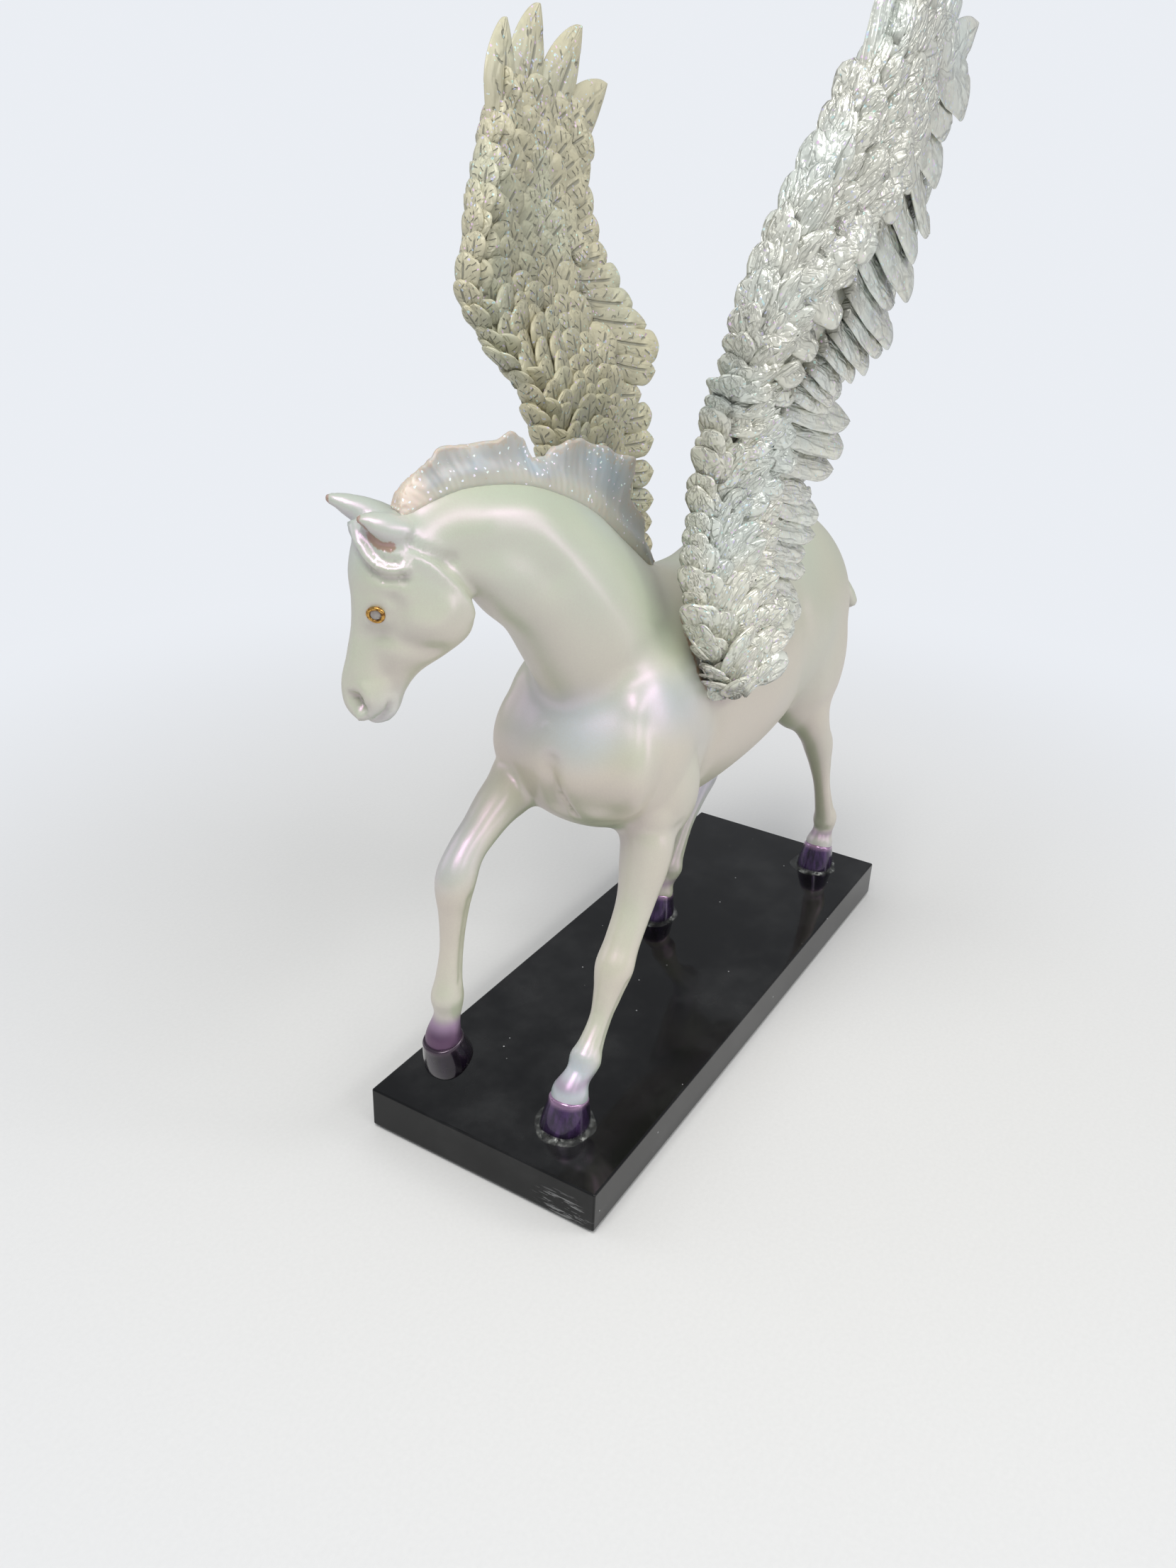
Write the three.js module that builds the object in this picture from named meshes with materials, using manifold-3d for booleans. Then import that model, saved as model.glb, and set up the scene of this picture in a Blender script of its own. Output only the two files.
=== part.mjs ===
// A winged horse figurine of cold-cast resin, walking on a lacquered rectangular base.
// Millimetres. +X is the way the body faces, +Y its left, +Z up, z = 0 the face of the felt.
import * as THREE from 'three';
import { mergeVertices } from 'three/addons/utils/BufferGeometryUtils.js';
import Module from 'manifold-3d';

const wasm = await Module();
wasm.setup();

// Base, in the order in which it lies on the table
const baseWidth = 68;
const feltThickness = 0.8;
const feltInset = 1.5;
const plateThickness = 11.7;
const plateEdge = 0.6;
const marginInFront = 17.2;
const marginBehind = 12.8;

// Fastenings
const clearance = 0.3;
const screwDiameter = 3;
const screwHeadDiameter = 6.2;
const screwHeadHeight = 2.6;
const counterboreDepth = 4;
const screwReach = 6;
const dowelDiameter = 2.6;
const dowelLength = 11;
const wingPinDiameter = 2.4;
const wingPinLength = 9;
const glueWidth = 1.5;
const glueHeight = 1.3;

// Eyes
const stoneDiameter = 2.2;
const stoneHeight = 1.1;
const settingWall = 0.4;
const settingDepth = 1.7;
const settingGap = 0.12;

// Mane and feathers
const maneThickness = 2.2;
const maneSeat = 2.2;
const maneFrom = 0.03;
const maneTo = 0.91;
const featherThickness = 1.5;
const coverLength = 16;
const coverWidth = 10;
const coversFrom = 108;
const coversTo = 222;
const wingThickness = 8.4;
// The left wing is cast taller: above a height it's drawn out upwards, and back by a share of that.
const leftWingRise = 12;
const leftWingRiseFrom = 188;
const leftWingRiseTo = 233;
const leftWingLean = 0.45;

// The castings are given as rows of sections along their length. Heights are above the base.
// Torso rows: x, height of the back, height of the underline, half width, narrowing of the top.
const torsoRows = [
  [-88, 106, 92, 4, 0],
  [-83, 114, 80, 13, 0],
  [-72, 124, 70, 20.5, 0.05],
  [-58, 130, 67, 23.4, 0.1],
  [-42, 131.5, 64.5, 24, 0.15],
  [-24, 130.5, 60.5, 23.5, 0.2],
  [-5, 128, 59.5, 22.5, 0.25],
  [12, 128.5, 60.5, 22, 0.4],
  [28, 131, 62, 21.5, 0.5],
  [42, 126, 65.5, 21.8, 0.3],
  [53, 115, 70.5, 21.8, 0.1],
  [60, 106, 75.5, 19.5, 0],
  [64, 99, 82.5, 12.5, 0],
  [66, 93, 87, 4, 0],
];

// Neck rows: crest x, y, height, throat x, y, height, half width.
const neckRows = [
  [22, 0, 128, 44, 0, 78, 15],
  [40, 0, 140.3, 56, -0.8, 96.5, 14],
  [52, -0.5, 149, 62.5, -1.8, 106.5, 12],
  [64, -2.1, 155, 68.5, -3, 115.5, 10],
  [75, -4.4, 158.5, 75, -4.4, 125, 8.8],
  [87.4, -8.1, 159.5, 81.5, -6.2, 131, 8],
  [95, -10.9, 158, 86, -7.6, 136, 6.8],
  [101.5, -14, 155, 95, -11, 143, 5.6],
];

// Head rows, in the head's own upright plane from the poll: forehead forward, up, jaw forward, up,
// half width.
const pollPlace = [98.7, -12.4, 153.4];
const headTurn = 42;
const headRows = [
  [2.5, 2.6, -7.5, -7, 5.2],
  [9.8, 0, -10, -12.4, 7.3],
  [12.6, -8, -12.2, -17.6, 8.2],
  [12.3, -15.5, -11.6, -23, 8.2],
  [12.6, -21, -7, -27, 6.9],
  [13.9, -27, -1.2, -30.7, 5.4],
  [15.2, -32.2, 2, -34.8, 4.8],
  [14.8, -37.2, 3.4, -38.5, 5],
  [12.6, -40.6, 6.2, -41.4, 3.4],
];
const earWidth = 5.8;
const earRoot = [2, -1.5];
const earSpread = [3.6, 4.2];
const earTips = { left: [11.1, 2], right: [16, 4.4] };
const eyePlace = [8.3, -16.2];
const nostrilPlace = [12.4, -37, 4.6];
const nostrilHalfSizes = [1.8, 1.4, 2.3];

// Leg rows, from the sole up: x, y, height, half length, half width.
const leftForeRows = [
  [77.8, 14.8, 0, 6.8, 6.1],
  [77.4, 14.8, 4.5, 6.1, 5.7],
  [76.2, 15, 9.3, 4.8, 4.7],
  [73.6, 15.3, 11.6, 3.3, 3.2],
  [71.6, 15.5, 13.4, 3.9, 3.7],
  [70, 15.5, 15.6, 4.7, 4.1],
  [67.8, 15.5, 18.6, 3.7, 3.2],
  [63.4, 15.5, 24.4, 3.1, 2.9],
  [60.2, 15.5, 30.4, 4.1, 3.8],
  [57.6, 15.4, 36, 5.1, 5],
  [54.2, 15.4, 41.6, 4.6, 4.6],
  [48.4, 15.5, 51, 5.3, 4.9],
  [44.6, 15.5, 62, 7.4, 6.4],
  [42, 15, 74, 9, 6.6],
  [40, 14.5, 84, 10, 6.6],
];
const rightForeRows = [
  [87.6, -14, 14.9, 6.5, 6.1],
  [89, -14, 18.2, 5.9, 5.6],
  [90, -14, 22.4, 4.9, 4.8],
  [88.8, -14, 26.6, 3.6, 3.5],
  [87.9, -14, 30.4, 3.8, 3.6],
  [88, -14, 34, 4.5, 4],
  [87.3, -14, 38.6, 3.5, 3.3],
  [86, -14, 47, 3.1, 2.9],
  [85.2, -14, 56, 3.7, 3.6],
  [84.2, -14, 64.4, 5.1, 4.9],
  [80, -14, 70.4, 4.6, 4.5],
  [74, -14, 74, 4.9, 4.7],
  [66.5, -14.3, 77.4, 6, 5.6],
  [56, -14.6, 80, 8.4, 6.6],
  [44, -14.5, 82, 9.6, 6.6],
];
const leftHindRows = [
  [-82.2, 17, 0, 6.5, 5.9],
  [-82.8, 17, 4.5, 5.8, 5.5],
  [-84, 17.2, 8.8, 4.7, 4.5],
  [-85.2, 17.3, 11.8, 3.3, 3.2],
  [-85.8, 17.4, 14.6, 4, 3.7],
  [-85.4, 17.4, 17.6, 4.7, 4],
  [-83.6, 17.4, 21.4, 3.7, 3.2],
  [-78, 17.4, 33, 3, 2.8],
  [-74, 17.2, 42.4, 4, 3.5],
  [-70, 17, 51, 5.5, 4.6],
  [-66, 16.8, 56.5, 5.6, 4.8],
  [-61, 16.3, 64, 7.2, 5.8],
  [-57.5, 15, 75, 10, 6.6],
  [-55, 13.5, 85, 12, 6.8],
];
const rightHindRows = [
  [-21.8, -14, 0, 6.5, 5.9],
  [-22, -13.9, 4.5, 5.8, 5.5],
  [-22.8, -13.5, 9, 4.6, 4.5],
  [-24.2, -12.8, 11.4, 3.3, 3.2],
  [-25.6, -12.3, 13.8, 3.9, 3.7],
  [-26.6, -12.1, 16, 4.6, 4],
  [-28.6, -12, 19.6, 3.6, 3.2],
  [-35, -12, 28.6, 3, 2.8],
  [-42, -12, 36, 3.9, 3.3],
  [-47.5, -12.3, 41.5, 5.4, 4.3],
  [-48.5, -12.8, 48, 5.3, 4.4],
  [-46.5, -13.6, 58, 7, 5.4],
  [-45, -13.6, 69, 10, 6.2],
  [-46, -13, 80, 12, 6.6],
];

// Muscles that swell from the torso: x, y (left side), height, three half sizes, lean in degrees.
const shoulderMuscle = [41, 12.5, 92, 18, 10.8, 29, 22];
const haunchMuscles = {
  left: [-59, 12.5, 86, 20, 11.5, 27, 10],
  right: [-52, 12.5, 86, 21, 11.5, 27, -12],
};

// Tail rows, from inside the rump to the tip: x, y, height, half size.
const tailRows = [
  [-79, 0, 106, 3.8],
  [-88, 0.3, 106.5, 4],
  [-96, 2, 102.5, 3.8],
  [-103, 4.6, 96, 3.4],
  [-108, 7, 90, 3],
  [-110.5, 8.4, 86.4, 2.2],
];

// Mane rows: distance along the crest from withers to poll, height of the hair above the crest.
const maneHeights = [
  [0, 1.5],
  [0.04, 4],
  [0.07, 8.5],
  [0.13, 9.2],
  [0.17, 14.8],
  [0.21, 16],
  [0.28, 14],
  [0.38, 12.4],
  [0.44, 11],
  [0.48, 8.5],
  [0.51, 5.8],
  [0.56, 4.8],
  [0.61, 8.6],
  [0.65, 9.6],
  [0.73, 7.3],
  [0.82, 7.9],
  [0.88, 7.8],
  [0.94, 6.8],
  [1, 4.5],
];

// Wing rows: height, leading edge x, trailing feathers' tips x, distance of the leading edge from
// the middle, outward flare of the tips, share of the full thickness.
const wingRows = [
  [98, 17, 4, 23.5, 0, 0.4],
  [102, 25, -8, 23, 0.3, 0.75],
  [109, 31.5, -16, 22.3, 0.6, 0.9],
  [118, 36.5, -20, 21, 1.5, 1],
  [129, 39.5, -22.5, 20, 2.2, 1],
  [142, 39, -21.5, 19.5, 4, 1],
  [156, 40, -24, 20.2, 6, 1],
  [170, 44.5, -25.5, 23, 4.6, 1],
  [182, 52.7, -25, 28.3, 6, 1],
  [192, 57.5, -21, 31.3, 8, 0.95],
  [203, 53.5, -17, 32.3, 11, 0.9],
  [213, 47.5, -17, 34.4, 10.4, 0.85],
  [223, 40.5, -20.5, 38, 6.5, 0.75],
  [233, 31.5, -22, 41.5, 4, 0.5],
];
const fleshShare = 0.66;
const wingCamber = 2.5;
// Flight feather rows, from the wing's foot upwards: height of the root, angle back from straight
// up, width. The feathers reach from their seat in the flesh to the line of the tips.
const flightCount = 17;
const flightRows = [
  [103, 150, 8],
  [109, 130, 8.5],
  [119, 114, 9],
  [134, 110, 9],
  [150, 110, 9.2],
  [166, 112, 9.5],
  [182, 118, 9.5],
  [198, 124, 9.5],
  [210, 118, 9.5],
  [218, 100, 9.5],
  [223, 82, 9.5],
];
const flightSeat = 0.86;
const longestFeather = 38;
// Feathers of the tip and of the foot: height, place between the flesh's edges, length, width, angle.
const endFeathers = [
  [223, 0.93, 27, 10, 61],
  [226, 0.74, 30, 10, 42],
  [228, 0.44, 25, 9.5, 32],
  [226, 0.2, 20, 8.5, 27],
  [111, 0.72, 10, 8.5, 166],
  [112, 0.4, 13, 8.5, 182],
];

// A value between the rows of a table: a smooth curve through them, t from 0 to 1.
function along(rows, t) {
  const place = Math.min(Math.max(t, 0), 1) * (rows.length - 1);
  const i = Math.min(Math.floor(place), rows.length - 2);
  const u = place - i;
  const row = (n) => rows[Math.min(Math.max(n, 0), rows.length - 1)];
  return rows[i].map((_, k) => {
    const [a, b, c, d] = [row(i - 1)[k], row(i)[k], row(i + 1)[k], row(i + 2)[k]];
    const bend = (2 * a - 5 * b + 4 * c - d) * u * u + (3 * b - a - 3 * c + d) * u * u * u;
    return 0.5 * (2 * b + (c - a) * u + bend);
  });
}

// A closed skin over a series of rings with as many points each, its ends closed by fans.
function loft(rings) {
  const count = rings[0].length;
  const points = [];
  for (const ring of rings) {
    for (const point of ring) points.push(point.x, point.y, point.z);
  }
  const faces = [];
  for (let r = 0; r + 1 < rings.length; r += 1) {
    for (let k = 0; k < count; k += 1) {
      const a = r * count + k;
      const b = r * count + ((k + 1) % count);
      faces.push(a, b, b + count, a, b + count, a + count);
    }
  }
  for (const [ring, start] of [[rings[0], 0], [rings.at(-1), (rings.length - 1) * count]]) {
    const middle = ring.reduce((sum, p) => sum.add(p), new THREE.Vector3()).divideScalar(count);
    const hub = points.length / 3;
    points.push(middle.x, middle.y, middle.z);
    for (let k = 0; k < count; k += 1) {
      const a = start + k;
      const b = start + ((k + 1) % count);
      if (start === 0) faces.push(hub, b, a);
      else faces.push(hub, a, b);
    }
  }
  const geometry = new THREE.BufferGeometry();
  geometry.setAttribute('position', new THREE.Float32BufferAttribute(points, 3));
  geometry.setIndex(faces);
  return geometry;
}

// A closed geometry as a solid that can be joined and cut, with its faces turned outwards.
function solid(geometry) {
  const plain = geometry.clone();
  plain.deleteAttribute('normal');
  plain.deleteAttribute('uv');
  const merged = mergeVertices(plain, 1e-4);
  const vertices = merged.attributes.position.array;
  const build = (faces) => new wasm.Manifold(
    new wasm.Mesh({ numProp: 3, vertProperties: vertices, triVerts: faces }),
  );
  const faces = new Uint32Array(merged.index.array);
  const made = build(faces);
  return made.volume() >= 0 ? made : build(faces.reverse());
}

function geometryOf(body) {
  const mesh = body.getMesh();
  const geometry = new THREE.BufferGeometry();
  geometry.setAttribute('position', new THREE.Float32BufferAttribute(mesh.vertProperties, 3));
  geometry.setIndex(Array.from(mesh.triVerts));
  geometry.computeVertexNormals();
  return geometry;
}

// An ellipse between two opposite points, with a half width along the side direction.
function ringBetween(top, bottom, side, halfWidth, count, narrowing = 0) {
  const middle = top.clone().add(bottom).multiplyScalar(0.5);
  const half = top.clone().sub(bottom).multiplyScalar(0.5);
  return Array.from({ length: count }, (_, k) => {
    const angle = (2 * Math.PI * k) / count;
    const rise = Math.max(Math.sin(angle), 0);
    const width = halfWidth * (1 - narrowing * rise * rise);
    return middle.clone()
      .addScaledVector(side, width * Math.cos(angle))
      .addScaledVector(half, Math.sin(angle));
  });
}

// A round member through rows of x, y, height, half length, half width. The first ring is square
// to the line of the first two rows, and on a standing leg it lies flat.
function limb(rows, count, steps, grow = 0, flatStart = false) {
  const centre = (t) => new THREE.Vector3(...along(rows, t).slice(0, 3));
  const rings = [];
  for (let s = 0; s <= steps; s += 1) {
    const t = s / steps;
    const row = along(rows, t);
    const way = centre(Math.min(t + 0.01, 1)).sub(centre(Math.max(t - 0.01, 0))).normalize();
    if (s === 0 && flatStart) way.set(0, 0, 1);
    const side = new THREE.Vector3(0, 1, 0).addScaledVector(way, -way.y).normalize();
    const front = side.clone().cross(way);
    const middle = centre(t);
    const [length, width] = [row[3] + grow, (row[4] ?? row[3]) + grow];
    const top = middle.clone().addScaledVector(front, length);
    rings.push(ringBetween(top, middle.clone().addScaledVector(front, -length), side, width, count));
  }
  return solid(loft(rings));
}

function cylinderBetween(from, to, diameter, sides = 12) {
  const way = to.clone().sub(from);
  const shape = new THREE.CylinderGeometry(diameter / 2, diameter / 2, way.length(), sides);
  const turn = new THREE.Quaternion().setFromUnitVectors(
    new THREE.Vector3(0, 1, 0),
    way.clone().normalize(),
  );
  shape.applyQuaternion(turn);
  const middle = from.clone().add(to).multiplyScalar(0.5);
  shape.translate(middle.x, middle.y, middle.z);
  return shape;
}

// The casting's forms
function torso(grow) {
  const rings = [];
  const steps = 2 * (torsoRows.length - 1);
  for (let s = 0; s <= steps; s += 1) {
    const [x, top, bottom, halfWidth, narrowing] = along(torsoRows, s / steps);
    const back = new THREE.Vector3(x, 0, top + grow);
    const belly = new THREE.Vector3(x, 0, bottom - grow);
    rings.push(ringBetween(back, belly, new THREE.Vector3(0, 1, 0), halfWidth + grow, 16, narrowing));
  }
  return solid(loft(rings));
}

function muscle([x, y, height, length, width, depth, lean], side, grow) {
  const shape = new THREE.SphereGeometry(1, 12, 8);
  shape.scale(length + grow, width + grow, depth + grow);
  shape.rotateY(THREE.MathUtils.degToRad(lean));
  shape.translate(x, side * y, height);
  return solid(shape);
}

function neck() {
  const rings = [];
  const steps = 14;
  for (let s = 0; s <= steps; s += 1) {
    const row = along(neckRows, s / steps);
    const crest = new THREE.Vector3(...row.slice(0, 3));
    const throat = new THREE.Vector3(...row.slice(3, 6));
    const ahead = crestPoint(Math.min(s / steps + 0.02, 1)).sub(crestPoint(s / steps - 0.02));
    const side = new THREE.Vector3(-ahead.y, ahead.x, 0).normalize();
    rings.push(ringBetween(crest, throat, side, row[6], 16, 0.22));
  }
  return solid(loft(rings));
}

function crestPoint(t) {
  return new THREE.Vector3(...along(neckRows, t).slice(0, 3));
}

// The head's plane: a place given forward, up and to the left of the poll.
function headPoint(forward, up, left = 0) {
  const turn = THREE.MathUtils.degToRad(headTurn);
  return new THREE.Vector3(
    pollPlace[0] + forward * Math.cos(turn) + left * Math.sin(turn),
    pollPlace[1] - forward * Math.sin(turn) + left * Math.cos(turn),
    pollPlace[2] + up,
  );
}

function head() {
  const side = headPoint(0, 0, 1).sub(headPoint(0, 0, 0));
  const rings = [];
  const steps = 16;
  for (let s = 0; s <= steps; s += 1) {
    const [frontX, frontUp, jawX, jawUp, halfWidth] = along(headRows, s / steps);
    rings.push(ringBetween(headPoint(frontX, frontUp), headPoint(jawX, jawUp), side, halfWidth, 14));
  }
  return solid(loft(rings));
}

// A pricked ear: a leaf-shaped cup on the poll, hollowed towards the front.
function ear(left) {
  const root = headPoint(...earRoot, left * earSpread[0]);
  const tip = headPoint(...(left > 0 ? earTips.left : earTips.right), left * earSpread[1]);
  const way = tip.clone().sub(root);
  const side = headPoint(0, 0, 1).sub(headPoint(0, 0, 0));
  const up = way.clone().cross(side).normalize();
  const rings = [0, 0.3, 0.6, 0.85, 0.985].map((t) => {
    const half = (earWidth / 2) * Math.sin(Math.PI * (0.28 + 0.72 * t)) ** 0.8 + 0.15;
    const middle = root.clone().addScaledVector(way, t);
    const high = middle.clone().addScaledVector(up, half * 0.8);
    return ringBetween(high, middle.clone().addScaledVector(up, -half * 0.8), side, half, 8);
  });
  const cup = new THREE.SphereGeometry(1, 8, 6);
  cup.scale(earWidth * 0.26, earWidth * 0.2, way.length() * 0.3);
  cup.applyQuaternion(new THREE.Quaternion().setFromUnitVectors(
    new THREE.Vector3(0, 0, 1),
    way.clone().normalize(),
  ));
  const hollow = root.clone().addScaledVector(way, 0.62).addScaledVector(up, -earWidth * 0.3);
  cup.translate(hollow.x, hollow.y, hollow.z);
  return solid(loft(rings)).subtract(solid(cup));
}

// The mane stands on the crest, its foot sunk in a slot of the neck.
function mane(grow) {
  const rings = [];
  const room = (2 * grow * (maneTo - maneFrom)) / crestPoint(maneFrom).distanceTo(crestPoint(maneTo));
  const steps = 26;
  for (let s = 0; s <= steps; s += 1) {
    const t = s / steps;
    const place = maneFrom - room + (maneTo - maneFrom + 2 * room) * t;
    const root = crestPoint(place);
    const row = along(neckRows, place);
    const down = new THREE.Vector3(row[3] - row[0], row[4] - row[1], row[5] - row[2]).normalize();
    const ahead = crestPoint(place + 0.01).sub(crestPoint(place - 0.01));
    const side = new THREE.Vector3(-ahead.y, ahead.x, 0).normalize();
    const up = side.clone().cross(ahead).normalize();
    if (up.z < 0) up.negate();
    const height = heightOfHair(t) + grow;
    const wave = 0.9 * Math.sin(11 * t) * Math.min(height / 8, 1);
    const foot = root.clone().addScaledVector(down, maneSeat + grow);
    const edge = root.clone().addScaledVector(up, height).addScaledVector(side, wave);
    const half = maneThickness / 2 + grow;
    const thin = half * 0.45;
    const waist = root.clone().addScaledVector(up, Math.max(height, 0.4) * 0.5)
      .addScaledVector(side, wave * 0.4);
    rings.push([
      foot.clone().addScaledVector(side, half * 0.8),
      root.clone().addScaledVector(side, half),
      waist.clone().addScaledVector(side, half * 0.75),
      edge.clone().addScaledVector(side, thin),
      edge.clone().addScaledVector(side, -thin),
      waist.clone().addScaledVector(side, -half * 0.75),
      root.clone().addScaledVector(side, -half),
      foot.clone().addScaledVector(side, -half * 0.8),
    ]);
  }
  return solid(loft(rings));
}

function heightOfHair(t) {
  const i = Math.max(maneHeights.findIndex(([place]) => place >= t), 1);
  const [[from, low], [to, high]] = [maneHeights[i - 1], maneHeights[i]];
  const share = (t - from) / (to - from);
  const smooth = share * share * (3 - 2 * share);
  return low + (high - low) * smooth;
}

// Wing: the flesh is a curved plate, and every feather lies along its surface.
function wingRow(height) {
  const last = wingRows.length - 1;
  const i = wingRows.findIndex((row) => row[0] > height);
  if (i < 0) return along(wingRows, 1);
  if (i === 0) return along(wingRows, 0);
  const share = (height - wingRows[i - 1][0]) / (wingRows[i][0] - wingRows[i - 1][0]);
  return along(wingRows, (i - 1 + share) / last);
}

// The distance of the wing's middle surface from the body's middle, at a place x and a height.
function wingDistance(x, height) {
  const [, leading, tips, distance, flare] = wingRow(height);
  const back = (leading - x) / (leading - tips);
  return distance + flare * back + Math.max(wingCamber * 4 * back * (1 - back), -wingCamber);
}

function wingPoint(x, height, out = 0) {
  return new THREE.Vector3(x, wingDistance(x, height) + out, height);
}

function fleshX(height, back) {
  const [, leading, tips] = wingRow(height);
  return leading + (tips - leading) * fleshShare * back;
}

function fleshHalf(height, back) {
  return (wingThickness / 2) * wingRow(height)[5] * Math.sqrt(back) * (1.75 - 1.45 * back) + 0.35;
}

function wingFlesh() {
  const rings = [];
  const steps = 16;
  const across = 6;
  const low = wingRows[0][0];
  const high = wingRows.at(-1)[0];
  for (let s = 0; s <= steps; s += 1) {
    const height = low + ((high - low) * s) / steps;
    const outer = [];
    const inner = [];
    for (let k = 0; k <= across; k += 1) {
      const back = 0.5 - 0.5 * Math.cos((Math.PI * k) / across);
      const x = fleshX(height, back);
      const half = fleshHalf(height, back);
      outer.push(wingPoint(x, height, half));
      inner.push(wingPoint(x, height, -half));
    }
    rings.push([...outer, ...inner.reverse()]);
  }
  return solid(loft(rings));
}

// A feather: a rounded leaf with a raised quill, its root at x and a height, lifted off the surface.
function feather(x, height, length, width, angle, lift, tipLift, thickness) {
  const turn = THREE.MathUtils.degToRad(angle);
  const way = [-Math.sin(turn), Math.cos(turn)];
  const place = (t, side, out) => {
    const px = x + way[0] * length * t + way[1] * side;
    const pz = height + way[1] * length * t - way[0] * side;
    return wingPoint(px, pz, out + lift + tipLift * t);
  };
  const rings = [[0, 0.45], [0.6, 1], [0.97, 0.62]].map(([t, share]) => {
    const half = (width / 2) * share;
    const thick = (thickness / 2) * (1 - 0.5 * t);
    return [place(t, half, 0), place(t, 0, thick), place(t, -half, 0), place(t, 0, -thick)];
  });
  return solid(loft(rings));
}

function wing() {
  const parts = [wingFlesh()];
  for (let k = 0; k < flightCount; k += 1) {
    const [height, angle, width] = along(flightRows, k / (flightCount - 1));
    const root = fleshX(height, flightSeat);
    const length = (root - wingRow(height)[2]) / Math.sin(THREE.MathUtils.degToRad(angle));
    const reach = Math.min(length, longestFeather);
    parts.push(feather(root, height, reach, width, angle, 0, 0, featherThickness * 1.3));
  }
  for (const [height, back, length, width, angle] of endFeathers) {
    parts.push(feather(fleshX(height, back), height, length, width, angle, 0, 0, featherThickness * 1.3));
  }
  const rowsAcross = [0.16, 0.6];
  const rowsUp = 6;
  for (const face of [1, -1]) {
    rowsAcross.forEach((back, column) => {
      for (let k = 0; k < rowsUp; k += 1) {
        const height = coversFrom + ((k + 0.5 * column) * (coversTo - coversFrom)) / (rowsUp - 0.5);
        const x = fleshX(height, back);
        const lean = Math.atan2(x - fleshX(height + coverLength, back), coverLength);
        const angle = THREE.MathUtils.radToDeg(lean) + 4 + 45 * back;
        const lift = face * fleshHalf(height, back);
        parts.push(feather(x, height, coverLength, coverWidth, angle, lift, face * 0.6, featherThickness));
      }
    });
  }
  return wasm.Manifold.union(parts);
}

function mirrored(body) {
  const mesh = body.getMesh();
  const vertices = Float32Array.from(mesh.vertProperties, (v, i) => (i % 3 === 1 ? -v : v));
  const faces = Uint32Array.from(mesh.triVerts).reverse();
  return new wasm.Manifold(
    new wasm.Mesh({ numProp: 3, vertProperties: vertices, triVerts: faces }),
  );
}

// The left wing's upper part, drawn out from the shape that the two moulds share
function drawnOut(body) {
  return body.warp((point) => {
    const t = THREE.MathUtils.clamp(
      (point[2] - leftWingRiseFrom) / (leftWingRiseTo - leftWingRiseFrom),
      0,
      1,
    );
    const rise = leftWingRise * t * t * (2 - t);
    point[0] -= leftWingLean * rise;
    point[2] += rise;
  });
}

// Finishes
const pearl = { color: 0xe9e4cf, roughness: 0.32, metalness: 0.12 };
const finishes = {
  pearl_lacquer: pearl,
  feather_silver: { color: 0xb9bcab, roughness: 0.34, metalness: 0.35 },
  black_lacquer: { color: 0x08090a, roughness: 0.12, metalness: 0 },
  felt: { color: 0x14161a, roughness: 0.95, metalness: 0 },
  steel: { color: 0xb4b7ba, roughness: 0.35, metalness: 1 },
  gold_rim: { color: 0xa5752c, roughness: 0.35, metalness: 0.9 },
  eye_glass: { color: 0xdfe6ea, roughness: 0.05, metalness: 0 },
  glue: { color: 0xbfc3bd, roughness: 0.4, metalness: 0 },
};

const figurine = new THREE.Group();
const groundHeight = feltThickness + plateThickness;
const stride = leftForeRows[0][0] - leftHindRows[0][0];
const baseLength = marginInFront + stride + marginBehind;
const baseMiddle = leftForeRows[0][0] + marginInFront - baseLength / 2;

// Everything is drawn in the casting's frame and moved so that the base's middle is the origin.
function addPiece(name, finish, geometry) {
  const piece = new THREE.Mesh(geometry, new THREE.MeshStandardMaterial(finishes[finish]));
  piece.name = name;
  piece.position.set(-baseMiddle, 0, groundHeight);
  figurine.add(piece);
}

// Base: a block with a small bevel, three screw holes and a felt sheet under it
function block(length, width, height, edge, foot) {
  const outline = new THREE.Shape();
  const [halfLength, halfWidth] = [length / 2 - edge, width / 2 - edge];
  outline.moveTo(-halfLength, -halfWidth);
  outline.lineTo(halfLength, -halfWidth);
  outline.lineTo(halfLength, halfWidth);
  outline.lineTo(-halfLength, halfWidth);
  outline.closePath();
  const shape = new THREE.ExtrudeGeometry(outline, {
    depth: height - 2 * edge,
    bevelEnabled: edge > 0,
    bevelThickness: edge,
    bevelSize: edge,
    bevelSegments: 2,
    steps: 1,
  });
  shape.translate(baseMiddle, 0, foot + edge);
  return solid(shape);
}

const standingLegs = {
  left_fore: leftForeRows,
  left_hind: leftHindRows,
  right_hind: rightHindRows,
};
let plate = block(baseLength, baseWidth, plateThickness, plateEdge, -plateThickness);
for (const [x, y] of Object.values(standingLegs).map((rows) => rows[0])) {
  const foot = new THREE.Vector3(x, y, -plateThickness - 1);
  const top = new THREE.Vector3(x, y, 1);
  const seat = new THREE.Vector3(x, y, -plateThickness + counterboreDepth);
  plate = plate.subtract(solid(cylinderBetween(foot, top, screwDiameter + 2 * clearance)));
  plate = plate.subtract(solid(cylinderBetween(foot, seat, screwHeadDiameter + 2 * clearance, 20)));
}
addPiece('base_plate', 'black_lacquer', geometryOf(plate));
const felt = block(baseLength - 2 * feltInset, baseWidth - 2 * feltInset, feltThickness, 0, -groundHeight);
addPiece('felt_sheet', 'felt', geometryOf(felt));

// Body casting and what is cut for the pieces that seat in it
function trunk(grow) {
  return wasm.Manifold.union([
    torso(grow),
    muscle(shoulderMuscle, 1, grow),
    muscle(shoulderMuscle, -1, grow),
    muscle(haunchMuscles.left, 1, grow),
    muscle(haunchMuscles.right, -1, grow),
  ]);
}

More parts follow.
